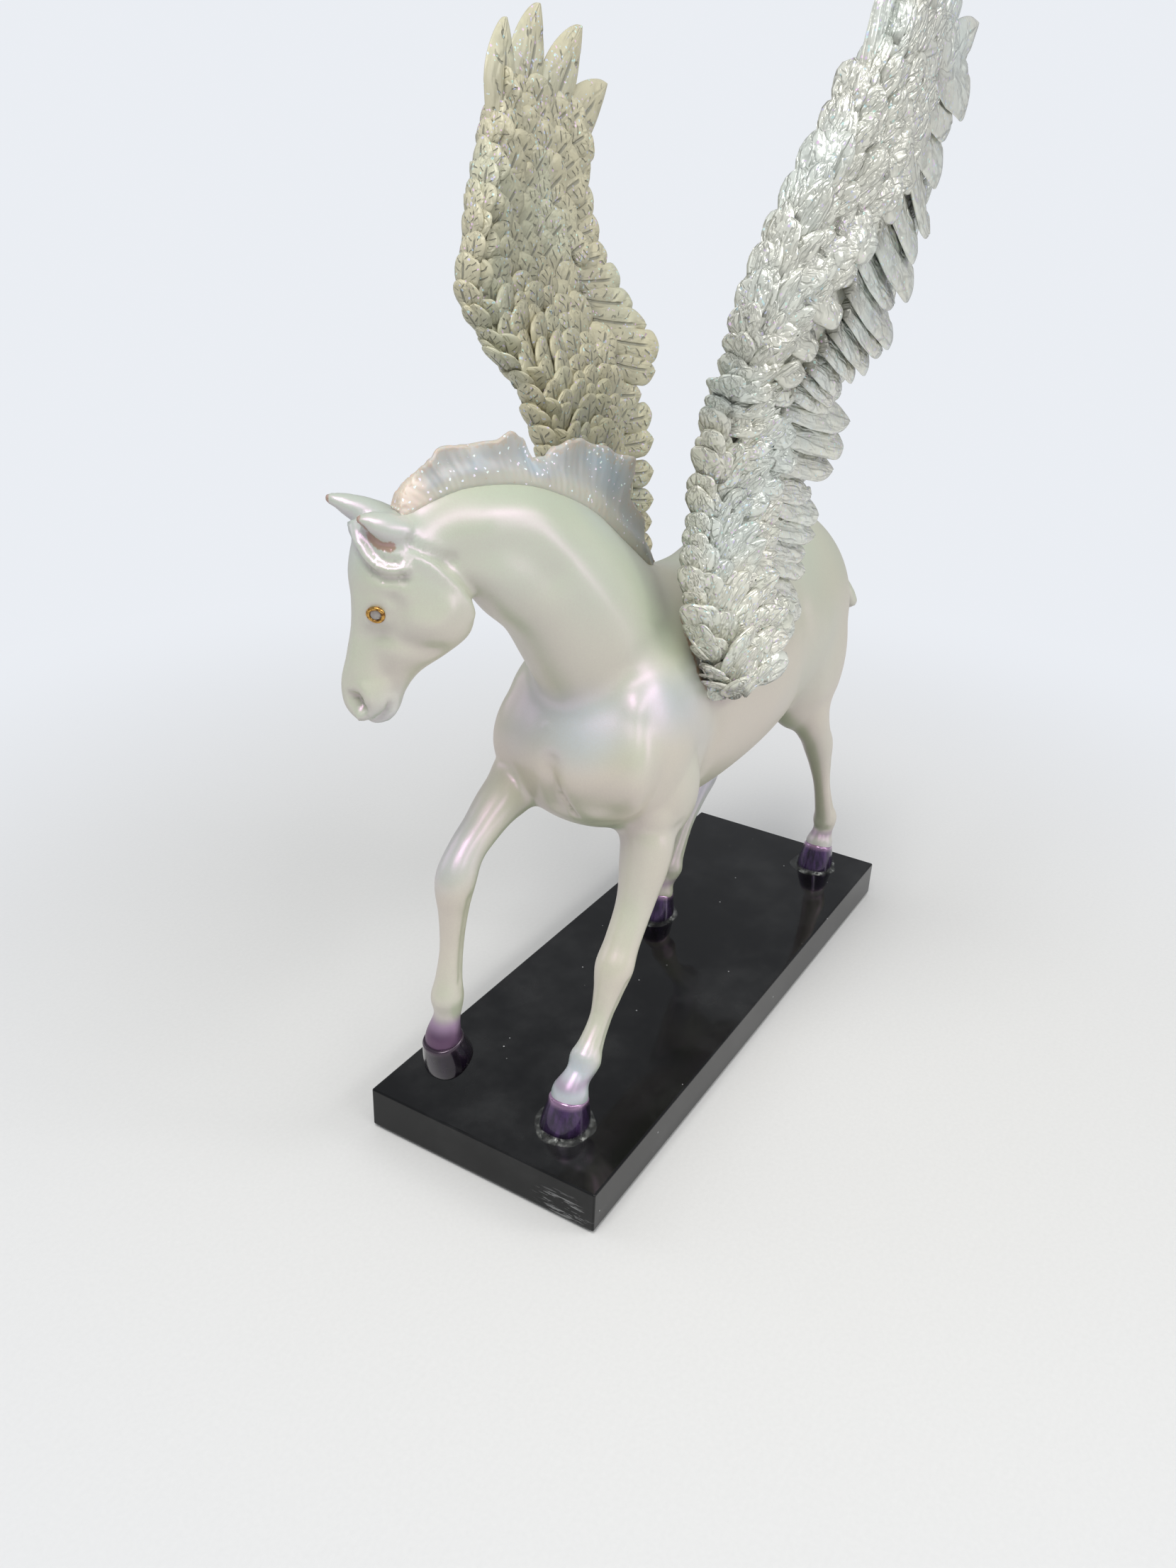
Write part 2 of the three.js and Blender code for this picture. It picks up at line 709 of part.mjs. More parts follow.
const legTables = { ...standingLegs, right_fore: rightForeRows };
const legSides = 10;
const legSteps = 20;
const trunkSpace = trunk(clearance);
let casting = wasm.Manifold.union([trunk(0), neck(), head(), ear(1), ear(-1)]);
casting = casting.subtract(mane(clearance));

// Each leg is a casting of its own, butted on the trunk with a steel dowel across the joint.
for (const [name, rows] of Object.entries(legTables)) {
  const standing = name in standingLegs;
  let leg = limb(rows, legSides, legSteps, 0, standing).subtract(trunkSpace);
  leg = leg.decompose().sort((a, b) => b.volume() - a.volume())[0];
  const inside = new THREE.Vector3(...rows.at(-1).slice(0, 3));
  const outside = new THREE.Vector3(...rows.at(-4).slice(0, 3));
  const way = inside.clone().sub(outside).normalize();
  const seam = seamAlong(outside, inside);
  const from = seam.clone().addScaledVector(way, -dowelLength / 2);
  const to = seam.clone().addScaledVector(way, dowelLength / 2);
  const room = way.clone().multiplyScalar(clearance);
  const hole = solid(cylinderBetween(
    from.clone().sub(room),
    to.clone().add(room),
    dowelDiameter + 2 * clearance,
    10,
  ));
  leg = leg.subtract(hole);
  casting = casting.subtract(hole);
  if (standing) {
    const [x, y] = rows[0];
    const low = new THREE.Vector3(x, y, -1);
    const high = new THREE.Vector3(x, y, screwReach + clearance);
    leg = leg.subtract(solid(cylinderBetween(low, high, screwDiameter + 2 * clearance)));
  }
  addPiece(`${name}_leg`, 'pearl_lacquer', geometryOf(leg));
  addPiece(`${name}_dowel`, 'steel', cylinderBetween(from, to, dowelDiameter, 10));
}

// Where a line from outside the trunk to a point inside it meets the trunk's surface.
function seamAlong(outside, inside) {
  let [low, high] = [0, 1];
  const probe = new THREE.SphereGeometry(0.05, 4, 3);
  for (let k = 0; k < 12; k += 1) {
    const t = (low + high) / 2;
    const point = outside.clone().lerp(inside, t);
    const dot = solid(probe.clone().translate(point.x, point.y, point.z));
    if (dot.intersect(trunkSpace).volume() > dot.volume() / 2) high = t;
    else low = t;
  }
  return outside.clone().lerp(inside, high);
}

// Screws and glue under the standing hooves
for (const [name, rows] of Object.entries(standingLegs)) {
  const [x, y, , halfLength, halfWidth] = rows[0];
  const headTop = -plateThickness + counterboreDepth - clearance;
  const profile = [
    [0, headTop - screwHeadHeight],
    [screwHeadDiameter / 2, headTop - screwHeadHeight],
    [screwHeadDiameter / 2, headTop],
    [screwDiameter / 2, headTop],
    [screwDiameter / 2, screwReach - screwDiameter / 2],
    [0, screwReach],
  ];
  const screw = new THREE.LatheGeometry(profile.map(([r, h]) => new THREE.Vector2(r, h)), 12);
  screw.rotateX(Math.PI / 2);
  screw.translate(x, y, 0);
  addPiece(`${name}_hoof_screw`, 'steel', geometryOf(solid(screw)));
  const bead = [[0, 1], [glueHeight * 0.6, 0.75], [glueHeight, 0.25]].map(([height, share]) => {
    const spread = glueWidth * share + clearance;
    const middle = new THREE.Vector3(x, y, height);
    const front = middle.clone().setX(x + halfLength + spread);
    const rear = middle.clone().setX(x - halfLength - spread);
    return ringBetween(front, rear, new THREE.Vector3(0, 1, 0), halfWidth + spread, 14);
  });
  const hoofSpace = limb(
    [[x, y, -1, halfLength, halfWidth], [x, y, glueHeight + 1, halfLength, halfWidth]],
    14,
    1,
    0.3,
    true,
  );
  addPiece(`${name}_glue_bead`, 'glue', geometryOf(solid(loft(bead)).subtract(hoofSpace)));
}

// Tail, mane and eyes
const tail = limb(tailRows, 10, 12);
casting = casting.subtract(limb(tailRows, 10, 12, clearance));
addPiece('tail', 'pearl_lacquer', geometryOf(tail));
addPiece('mane', 'pearl_lacquer', geometryOf(mane(0)));

const settingRadius = stoneDiameter / 2 + settingGap + settingWall;
for (const [side, name] of [[1, 'left'], [-1, 'right']]) {
  const half = along(headRows, 0.42)[4];
  const outward = headPoint(0, 0, side).sub(headPoint(0, 0, 0)).normalize();
  const face = headPoint(...eyePlace, side * (half - 0.6));
  const turn = new THREE.Quaternion().setFromUnitVectors(new THREE.Vector3(0, 1, 0), outward);
  const placed = (profile, sides) => {
    const shape = new THREE.LatheGeometry(profile.map(([r, h]) => new THREE.Vector2(r, h)), sides);
    shape.applyQuaternion(turn);
    shape.translate(face.x, face.y, face.z);
    return solid(shape);
  };
  const floor = settingDepth - stoneHeight + settingGap;
  const cup = placed([
    [0, -settingDepth],
    [settingRadius, -settingDepth],
    [settingRadius, 0],
    [settingRadius - settingWall * 0.4, 0.25],
    [settingRadius - settingWall, 0],
    [settingRadius - settingWall, -settingDepth + floor * 0.5],
    [0, -settingDepth + floor * 0.5],
  ], 16);
  const stoneFoot = -settingDepth + floor * 0.5 + settingGap;
  const stone = placed([
    [0, stoneFoot],
    [stoneDiameter * 0.3, stoneFoot],
    [stoneDiameter / 2, stoneFoot + stoneHeight * 0.5],
    [stoneDiameter / 2, stoneFoot + stoneHeight * 0.65],
    [stoneDiameter * 0.3, stoneFoot + stoneHeight],
    [0, stoneFoot + stoneHeight],
  ], 10);
  casting = casting.subtract(placed([
    [0, -settingDepth - clearance],
    [settingRadius + clearance * 0.5, -settingDepth - clearance],
    [settingRadius + clearance * 0.5, settingDepth],
    [0, settingDepth],
  ], 16));
  const nostril = new THREE.SphereGeometry(1, 8, 6);
  nostril.scale(...nostrilHalfSizes);
  const [forward, up, aside] = nostrilPlace;
  const hollow = headPoint(forward, up, side * aside);
  nostril.translate(hollow.x, hollow.y, hollow.z);
  casting = casting.subtract(solid(nostril));
  addPiece(`${name}_eye_setting`, 'gold_rim', geometryOf(cup));
  addPiece(`${name}_eye_stone`, 'eye_glass', geometryOf(stone));
}

// Wings, each glued to a shoulder over a steel pin
const sharedWing = wing();
const pinPlace = [14, 109];
const pinMiddle = wingDistance(...pinPlace) - wingThickness * 0.45;
const wings = [[1, 'left', drawnOut(sharedWing)], [-1, 'right', mirrored(sharedWing)]];
for (const [side, name, body] of wings) {
  const from = new THREE.Vector3(pinPlace[0], side * (pinMiddle - wingPinLength / 2), pinPlace[1]);
  const to = from.clone().setY(side * (pinMiddle + wingPinLength / 2));
  const room = new THREE.Vector3(0, side * clearance, 0);
  const hole = solid(cylinderBetween(
    from.clone().sub(room),
    to.clone().add(room),
    wingPinDiameter + 2 * clearance,
    10,
  ));
  const seated = body.subtract(trunkSpace).subtract(hole);
  const largest = seated.decompose().sort((a, b) => b.volume() - a.volume())[0];
  casting = casting.subtract(hole);
  addPiece(`${name}_wing`, 'feather_silver', geometryOf(largest));
  addPiece(`${name}_wing_pin`, 'steel', cylinderBetween(from, to, wingPinDiameter, 10));
}
casting = casting.decompose().sort((a, b) => b.volume() - a.volume())[0];
addPiece('body_casting', 'pearl_lacquer', geometryOf(casting));

export default figurine;
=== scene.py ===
import math

import bpy
import numpy as np
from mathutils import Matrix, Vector


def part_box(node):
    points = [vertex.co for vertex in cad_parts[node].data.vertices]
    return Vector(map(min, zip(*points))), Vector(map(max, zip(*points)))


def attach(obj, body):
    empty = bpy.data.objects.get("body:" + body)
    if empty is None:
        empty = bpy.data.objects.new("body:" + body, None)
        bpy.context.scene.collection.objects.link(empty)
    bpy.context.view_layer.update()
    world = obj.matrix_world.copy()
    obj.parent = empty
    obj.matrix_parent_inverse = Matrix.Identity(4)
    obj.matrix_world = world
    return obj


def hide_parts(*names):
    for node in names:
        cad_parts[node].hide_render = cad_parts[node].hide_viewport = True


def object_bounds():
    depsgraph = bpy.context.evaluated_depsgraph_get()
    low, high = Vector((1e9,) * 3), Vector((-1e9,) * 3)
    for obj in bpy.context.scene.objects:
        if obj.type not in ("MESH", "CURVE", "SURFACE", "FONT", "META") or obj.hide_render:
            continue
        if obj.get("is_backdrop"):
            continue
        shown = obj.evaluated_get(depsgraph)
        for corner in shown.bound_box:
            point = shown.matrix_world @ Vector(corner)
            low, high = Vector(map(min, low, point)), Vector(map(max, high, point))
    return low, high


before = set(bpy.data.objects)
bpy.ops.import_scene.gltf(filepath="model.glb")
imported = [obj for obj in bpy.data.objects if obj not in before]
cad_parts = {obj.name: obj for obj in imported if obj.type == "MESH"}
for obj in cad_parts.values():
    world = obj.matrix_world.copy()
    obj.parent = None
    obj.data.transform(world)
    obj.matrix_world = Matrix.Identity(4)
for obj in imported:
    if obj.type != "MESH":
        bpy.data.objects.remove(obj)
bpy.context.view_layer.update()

# The base: a rectangular block of wood, sprayed black and polished, with edges that are barely
# broken. It has picked up lint, a haze of dust and scratches low at its front left corner.
MM = 0.001
base_low, base_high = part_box("base_plate")
# All rows of sizes are in millimetres, with heights over the top of the base
ground = base_high.z / MM
edge_break = 0.55 * MM
edge_steps = 5
black = (0.0035, 0.0036, 0.004, 1)
dust_grey = (0.55, 0.56, 0.56, 1)
# The scratched patch: its middle, and one over its half sizes
scratched = (0.0951, 0.0255, 0.0045)
scratched_fade = (60, 105, 190)


def object_of(name, verts, faces):
    """A new object at the origin, its corners given in metres."""
    mesh = bpy.data.meshes.new(name)
    mesh.from_pydata([tuple(v) for v in verts], [], [tuple(f) for f in faces])
    mesh.validate()
    made = bpy.data.objects.new(name, mesh)
    bpy.context.collection.objects.link(made)
    return made


def baked(obj):
    """Applies the modifiers, so that what they make is the object's own mesh."""
    graph = bpy.context.evaluated_depsgraph_get()
    mesh = bpy.data.meshes.new_from_object(obj.evaluated_get(graph))
    obj.modifiers.clear()
    old = obj.data
    obj.data = mesh
    bpy.data.meshes.remove(old)
    mesh.name = obj.name
    return obj


def smooth_faces(obj):
    obj.data.polygons.foreach_set("use_smooth", np.ones(len(obj.data.polygons), bool))
    obj.data.update()


def block(name, low, high, radius, segments):
    """A box with rounded edges."""
    corners = [(x, y, z) for x in (low.x, high.x) for y in (low.y, high.y) for z in (low.z, high.z)]
    sides = [(0, 1, 3, 2), (4, 6, 7, 5), (0, 4, 5, 1), (2, 3, 7, 6), (0, 2, 6, 4), (1, 5, 7, 3)]
    made = object_of(name, corners, sides)
    bevel = made.modifiers.new("Broken edges", "BEVEL")
    bevel.width = radius
    bevel.segments = segments
    bevel.harden_normals = True
    smooth_faces(made)
    return baked(made)


def new_material(name, **values):
    """A material, its node tree, its shader and the place on the object; values set its sockets."""
    material = bpy.data.materials.new(name)
    material.use_nodes = True
    tree = material.node_tree
    shader = tree.nodes["Principled BSDF"]
    for socket, value in values.items():
        shader.inputs[socket.replace("_", " ")].default_value = value
    return material, tree, shader, wire(tree, "ShaderNodeTexCoord").outputs["Object"]


def wire(tree, kind, links=None, **settings):
    """Adds a node: settings are its properties, links feed or set its inputs by name or number."""
    node = tree.nodes.new(kind)
    for key, value in settings.items():
        setattr(node, key, value)
    for key, value in (links or {}).items():
        socket = node.inputs[key]
        if isinstance(value, bpy.types.NodeSocket):
            tree.links.new(value, socket)
        else:
            socket.default_value = value
    return node


def feed(tree, shader, **sockets):
    """Leads values that change over the surface into a shader."""
    for socket, value in sockets.items():
        tree.links.new(value, shader.inputs[socket.replace("_", " ")])


def sums(tree, operation, first, second=0.0, third=0.0):
    links = {0: first, 1: second, 2: third}
    return wire(tree, "ShaderNodeMath", links, operation=operation).outputs[0]


def between(tree, value, low, high, to_low=0.0, to_high=1.0):
    """A smooth step of a value from low to high."""
    links = {"Value": value, "From Min": low, "From Max": high, "To Min": to_low, "To Max": to_high}
    return wire(tree, "ShaderNodeMapRange", links, interpolation_type="SMOOTHSTEP").outputs[0]


def blend(tree, factor, first, second, mode="MIX"):
    """Mixes two colours: the second one covers the first where the factor is 1."""
    links = {"Factor": factor, 6: first, 7: second}
    return wire(tree, "ShaderNodeMix", links, data_type="RGBA", blend_type=mode).outputs[2]


def noise(tree, place, scale, detail=2.0, rough=0.5, distortion=0.0):
    links = {
        "Vector": place, "Scale": scale, "Detail": detail, "Roughness": rough, "Distortion": distortion,
    }
    return wire(tree, "ShaderNodeTexNoise", links).outputs["Fac"]


def dented(tree, shader, height, strength, depth):
    """Gives the shader the small relief of its surface, depth in metres."""
    bump = wire(tree, "ShaderNodeBump", {"Height": height, "Strength": strength, "Distance": depth})
    feed(tree, shader, Normal=bump.outputs[0])
    return bump.outputs[0]


def new_group(name, kind, inputs, outputs):
    """A node group and what it is given; inputs and outputs list its sockets and their kinds."""
    tree = bpy.data.node_groups.new(name, kind)
    for way, sockets in (("INPUT", inputs), ("OUTPUT", outputs)):
        for key, socket in sockets.items():
            tree.interface.new_socket(key, in_out=way, socket_type="NodeSocket" + socket)
    return tree, wire(tree, "NodeGroupInput").outputs


# Grain that is drawn out one way: scratches, streaks of paint, the turning marks of steel
drawn_grain, given = new_group(
    "Drawn grain", "ShaderNodeTree",
    {"Place": "Vector", "Stretch": "Vector", "Turn": "Vector", "Scale": "Float", "Detail": "Float",
     "Roughness": "Float"},
    {"Grain": "Float"},
)
links = {"Vector": given["Place"], "Scale": given["Stretch"], "Rotation": given["Turn"]}
drawn = wire(drawn_grain, "ShaderNodeMapping", links).outputs[0]
grain = noise(drawn_grain, drawn, given["Scale"], given["Detail"], given["Roughness"])
wire(drawn_grain, "NodeGroupOutput", {"Grain": grain})


def drawn_out(tree, place, stretch, scale, rough, turn=(0, 0, 0)):
    links = {
        "Place": place, "Stretch": stretch, "Turn": turn, "Scale": scale, "Detail": 3,
        "Roughness": rough,
    }
    return wire(tree, "ShaderNodeGroup", links, node_tree=drawn_grain).outputs[0]


lacquer, tree, shader, place = new_material(
    "Black lacquer", Roughness=0.07, Coat_Weight=0.04, Coat_Roughness=0.03, Specular_IOR_Level=0.3,
)
specks = wire(tree, "ShaderNodeTexVoronoi", {"Vector": place, "Scale": 520.0})
grain = wire(tree, "ShaderNodeSeparateColor", {0: specks.outputs["Color"]})
speck = between(tree, grain.outputs[0], 0.93, 1, 0, 0.13)
lint = sums(tree, "LESS_THAN", specks.outputs["Distance"], speck)
haze = between(tree, noise(tree, place, 38, 5, 0.62), 0.42, 0.8)
# Scratches: drawn-out threads of noise, seen only on the scratched patch
thread = drawn_out(tree, place, (1, 1, 9), 150, 0.7, (0.5, 0.25, 0.15))
links = {"Vector": place, "Location": [-middle for middle in scratched]}
spot = wire(tree, "ShaderNodeMapping", links)
size = wire(tree, "ShaderNodeMapping", {"Vector": spot.outputs[0], "Scale": scratched_fade})
reach = wire(tree, "ShaderNodeVectorMath", {0: size.outputs[0]}, operation="LENGTH").outputs["Value"]
rub = sums(tree, "MULTIPLY", between(tree, thread, 0.55, 0.6), between(tree, reach, 1.1, 0.3))
dust = sums(tree, "MAXIMUM", sums(tree, "MULTIPLY", lint, 0.75), sums(tree, "MULTIPLY", haze, 0.035))
mark = sums(tree, "MAXIMUM", dust, sums(tree, "MULTIPLY", rub, 0.35))
dull = sums(tree, "ADD", sums(tree, "MULTIPLY", haze, 0.1), sums(tree, "MULTIPLY", mark, 0.5))
dull = sums(tree, "ADD", dull, 0.06)
feed(tree, shader, Base_Color=blend(tree, mark, black, dust_grey), Roughness=dull)
dented(tree, shader, noise(tree, place, 55, 2), 0.05, 0.0004)
base = block("lacquered_base", base_low, base_high, edge_break, edge_steps)
base.data.materials.append(lacquer)
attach(base, "root")
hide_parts("base_plate")

# The horse: body, legs and tail of solid resin, cast in soft moulds, pinned, filled over at the
# joints so that one form flows into the next, and sprayed with a pearl lacquer that shows green
# by itself and lilac where it shines. The ears are touched with brown, the pasterns with violet.

# Torso: forward, height of the back, height of the belly, half width, narrowing towards the top
torso_rows = [
    [-88, 106, 92, 4, 0], [-83, 114, 80, 13, 0], [-72, 124, 70, 20.5, 0.05],
    [-58, 130, 67, 23.4, 0.1], [-42, 131.5, 64.5, 24, 0.15], [-24, 130.5, 60.5, 23.5, 0.2],
    [-5, 128, 59.5, 22.5, 0.25], [12, 128.5, 60.5, 22, 0.4], [28, 131, 62, 21.5, 0.5],
    [42, 126, 65.5, 21.8, 0.3], [53, 115, 70.5, 21.8, 0.1], [60, 106, 75.5, 19.5, 0],
    [64, 99, 82.5, 12.5, 0], [66, 93, 87, 4, 0],
]
# Neck: crest forward, left and up, throat forward, left and up, half width
neck_rows = [
    [22, 0, 128, 44, 0, 78, 15], [40, 0, 140.3, 56, -0.8, 96.5, 14],
    [52, -0.5, 149, 62.5, -1.8, 106.5, 12], [64, -2.1, 155, 68.5, -3, 115.5, 10],
    [75, -4.4, 158.5, 75, -4.4, 125, 8.8], [87.4, -8.1, 159.5, 81.5, -6.2, 131, 8],
    [95, -10.9, 158, 86, -7.6, 136, 6.8], [101.5, -14, 155, 95, -11, 143, 5.6],
]
# Legs from the hoof up, then the tail from its root: middle, half depth, half width
left_fore_rows = [
    [77.2, 14.8, 2.5, 4, 3.8], [76.8, 14.8, 5.5, 4.7, 4.4], [75.9, 14.9, 9, 5.1, 4.8],
    [74.6, 15.1, 11.2, 4.1, 3.9], [73.2, 15.3, 12.6, 3.5, 3.4], [71.6, 15.5, 14, 4, 3.8],
    [70, 15.5, 16, 4.7, 4.1],
    [67.8, 15.5, 18.6, 3.7, 3.2], [63.4, 15.5, 24.4, 3.1, 2.9], [60.2, 15.5, 30.4, 4.1, 3.8],
    [57.6, 15.4, 36, 5.1, 5], [54.2, 15.4, 41.6, 4.6, 4.6], [48.4, 15.5, 51, 5.3, 4.9],
    [44.6, 15.5, 62, 7.4, 6.4], [42, 15, 74, 9, 6.6], [40, 14.5, 84, 10, 6.6],
]
right_fore_rows = [
    [88.4, -14, 17.5, 4.6, 4.4], [89.7, -14, 22, 4.9, 4.7], [89.2, -14, 25.2, 4.2, 4],
    [88.2, -14, 28, 3.4, 3.3], [87.9, -14, 31, 3.9, 3.7], [88, -14, 34, 4.5, 4],
    [87.3, -14, 38.6, 3.5, 3.3], [86, -14, 47, 3.1, 2.9], [85.2, -14, 56, 3.7, 3.6],
    [84.2, -14, 64.4, 5.1, 4.9], [80, -14, 70.4, 4.6, 4.5], [74, -14, 74, 4.9, 4.7],
    [66.5, -14.3, 77.4, 6, 5.6], [56, -14.6, 80, 8.4, 6.6], [44, -14.5, 82, 9.6, 6.6],
]
left_hind_rows = [
    [-82.6, 17, 2.5, 3.8, 3.6], [-83.2, 17, 5.5, 4.5, 4.2], [-84.1, 17.1, 8.9, 4.9, 4.6],
    [-84.9, 17.2, 11.2, 3.9, 3.7], [-85.5, 17.3, 12.8, 3.4, 3.3], [-85.8, 17.4, 15, 4, 3.7],
    [-85.4, 17.4, 17.8, 4.7, 4],
    [-83.6, 17.4, 21.4, 3.7, 3.2], [-78, 17.4, 33, 3, 2.8], [-74, 17.2, 42.4, 4, 3.5],
    [-70, 17, 51, 5.5, 4.6], [-66, 16.8, 56.5, 5.6, 4.8], [-61, 16.3, 64, 7.2, 5.8],
    [-57.5, 15, 75, 10, 6.6], [-55, 13.5, 85, 12, 6.8],
]
right_hind_rows = [
    [-22.3, -14, 2.5, 3.8, 3.6], [-22.7, -13.9, 5.5, 4.5, 4.2], [-23.4, -13.6, 8.9, 4.9, 4.6],
    [-24, -13.1, 11, 3.9, 3.7], [-24.8, -12.6, 12.4, 3.4, 3.3], [-25.8, -12.3, 14.2, 4, 3.7],
    [-26.8, -12.1, 16.2, 4.6, 4],
    [-28.6, -12, 19.6, 3.6, 3.2], [-35, -12, 28.6, 3, 2.8], [-42, -12, 36, 3.9, 3.3],
    [-47.5, -12.3, 41.5, 5.4, 4.3], [-48.5, -12.8, 48, 5.3, 4.4], [-46.5, -13.6, 58, 7, 5.4],
    [-45, -13.6, 69, 10, 6.2], [-46, -13, 80, 12, 6.6],
]
tail_rows = [
    [-79, 0, 106, 3.8, 3.8], [-88, 0.3, 106.5, 4, 4], [-96, 2, 102.5, 3.8, 3.8],
    [-103, 4.6, 96, 3.4, 3.4], [-108, 7, 90, 3, 3], [-110.5, 8.4, 86.4, 2.2, 2.2],
]
# Swellings: centre, half sizes, lean towards the front in degrees
muscles = [
    [(42, 12.5, 91), (16.5, 10.6, 23), 20], [(42, -12.5, 92), (16.5, 10.6, 22), 20],
    [(37, 14, 80), (12.5, 9.6, 17), 14], [(38, -13.5, 85), (12, 9.4, 14), 14],
    [(-59, 12.5, 86), (20, 11.5, 27), 10], [(-52, -12.5, 86), (21, 11.5, 27), -12],
]
# Head, from the poll in its own plane, which is turned to the right: forehead forward and up, jaw
# forward and up, half width
poll = np.array([98.7, -12.4, 153.4])
head_turn = math.radians(42)
head_rows = [
    [2.5, 2.6, -7.5, -7, 5.2], [9.8, 0, -10, -12.4, 7.3], [12.6, -8, -12.2, -17.6, 8.2],
    [12.3, -15.5, -11.6, -23, 8.2], [12.6, -21, -7, -27, 6.9], [13.9, -27, -1.2, -30.7, 5.4],
    [15.2, -32.2, 2, -34.8, 4.8], [14.8, -37.2, 3.4, -38.5, 5], [12.6, -40.6, 6.2, -41.4, 3.4],
]
# Ears, left and right: forward and height of root and tip, distance of both from the middle, half
# width, and the shares of the length at which the rings stand
ear_root = (2, -1.5)
ear_tips = {1: (11.1, 2), -1: (16, 4.4)}
ear_root_out, ear_tip_out, ear_half = 3.6, 4.2, 3.7
ear_rings = (-0.1, 0.1, 0.3, 0.5, 0.7, 0.85, 0.94, 0.99)
torso_rings, neck_rings, head_rings, leg_rings, tail_rings = 110, 90, 80, 110, 50
crest_narrowing = 0.22
# Fillets where the forms meet: middle, radius
fillets = [
    ((38, 14, 112), 24), ((38, -14, 112), 24), ((50, 0, 88), 14), ((36, 20, 108), 20),
    ((36, -20, 108), 20), ((44, 15, 66), 11), ((50, -15, 76), 13), ((-57, 18, 98), 26),
    ((-50, -18, 98), 26), ((-60, 14, 66), 14), ((-47, -12, 66), 14), ((96, -11, 150), 7),
    ((-84, 0, 106), 8), ((28, 0, 128), 16), ((20, 16, 84), 10), ((20, -16, 84), 10),
    ((-30, 16, 84), 18), ((-30, -16, 84), 18), ((52, 0, 104), 16), ((50, 16, 110), 19),
    ((50, -16, 110), 19), ((56, 12, 100), 14), ((56, -12, 100), 14), ((62, 0, 92), 14),
]
# Step of the mesh that joins all forms, and where the muzzle is blunted in front
voxel = 0.84 * MM
muzzle_front, rounding = 110.2, 0.5
pearl_greens = ((0.57, 0.59, 0.42, 1), (0.49, 0.59, 0.42, 1))
pearl_blue = (0.46, 0.56, 0.56, 1)
pearl_flake = (0.46, 0.47, 0.36, 1)
mist_violet = (0.24, 0.18, 0.25, 1)
hoof_black = (0.03, 0.018, 0.035, 1)
ear_brown = (0.32, 0.21, 0.08, 1)
lustre_lilac = (1.0, 0.6, 0.96, 1)


def along(rows, t):
    """A smooth curve through rows of sizes, t from 0 at the first to 1 at the last."""
    rows = np.asarray(rows, float)
    place = np.clip(np.atleast_1d(t), 0, 1) * (len(rows) - 1)
    i = np.minimum(place.astype(int), len(rows) - 2)
    u = (place - i)[:, None]
    a, b, c, d = (rows[np.clip(i + k, 0, len(rows) - 1)] for k in (-1, 0, 1, 2))
    bend = (2 * a - 5 * b + 4 * c - d) * u ** 2 + (3 * b - a - 3 * c + d) * u ** 3
    return 0.5 * (2 * b + (c - a) * u + bend)


def unit(vectors):
    return vectors / np.linalg.norm(vectors, axis=-1, keepdims=True)


def sideways(ahead):
    """To the left of each direction, level with the ground."""
    return unit(np.stack([-ahead[:, 1], ahead[:, 0], 0 * ahead[:, 0]], 1))


def tilted(points, degrees):
    """Points turned about the left axis, so that their tops lean forward."""
    c, s = math.cos(math.radians(degrees)), math.sin(math.radians(degrees))
    return points @ np.array([[c, 0, -s], [0, 1, 0], [s, 0, c]])


def rings_between(tops, bottoms, sides, widths, narrowing=0.0, count=64):
    """Oval sections, each given by its top, its bottom, its sideways direction and half width."""
    angle = np.linspace(0, 2 * np.pi, count, endpoint=False)
    rise = np.maximum(np.sin(angle), 0) ** 2
    width = widths[:, None] * (1 - np.reshape(narrowing, (-1, 1)) * rise)
    middle, half = (tops + bottoms) / 2, (tops - bottoms) / 2
    across = sides[:, None] * (width * np.cos(angle))[..., None]
    return middle[:, None] + across + half[:, None] * np.sin(angle)[None, :, None]


def loft(rings):
    """A closed skin over the rings, its faces turned outwards."""
    count, size = rings.shape[:2]
    verts = np.vstack([rings.reshape(-1, 3), rings[0].mean(0), rings[-1].mean(0)])
    k = np.arange(size)
    n = (k + 1) % size
    faces = []
    for r in range(count - 1):
        a = r * size
        faces += list(zip(a + k, a + n, a + size + n, a + size + k))
    last = (count - 1) * size
    faces += [(len(verts) - 2, b, a) for a, b in zip(k, n)]
    faces += [(len(verts) - 1, last + a, last + b) for a, b in zip(k, n)]
    first = [verts[[f[0], f[i], f[i + 1]]] for f in faces for i in range(1, len(f) - 1)]
    corner = np.array(first)
    volume = np.einsum("ij,ij->i", corner[:, 0], np.cross(corner[:, 1], corner[:, 2])).sum()
    return verts, faces if volume > 0 else [f[::-1] for f in faces]


def limb(rows, steps, flat_start=False, count=48):
    """A leg or the tail; a flat start is cut level, to stand in its hoof."""
    t = np.linspace(0, 1, steps)
    row = along(rows, t)
    way = unit(along(rows, np.minimum(t + 0.01, 1))[:, :3] - along(rows, np.maximum(t - 0.01, 0))[:, :3])
    if flat_start:
        way[0] = (0, 0, 1)
    side = unit(np.array([[0, 1, 0]]) - way * way[:, 1:2])
    front = np.cross(side, way)
    tops, bottoms = row[:, :3] + front * row[:, 3:4], row[:, :3] - front * row[:, 3:4]
    return loft(rings_between(tops, bottoms, side, row[:, 4], 0.0, count))


def ball(centre, sizes, lean=0.0, steps=28):
    """A rounded swelling of muscle."""
    angle = np.linspace(0.02, np.pi - 0.02, steps)
    tops = np.stack([np.sin(angle) * sizes[0], 0 * angle, -np.cos(angle) * sizes[2]], 1)
    bottoms = tops * (-1, 1, 1)
    sides = np.tile([0.0, 1, 0], (steps, 1))
    rings = rings_between(tops, bottoms, sides, np.sin(angle) * sizes[1], 0.0, 40)
    return loft(tilted(rings, lean) + centre)


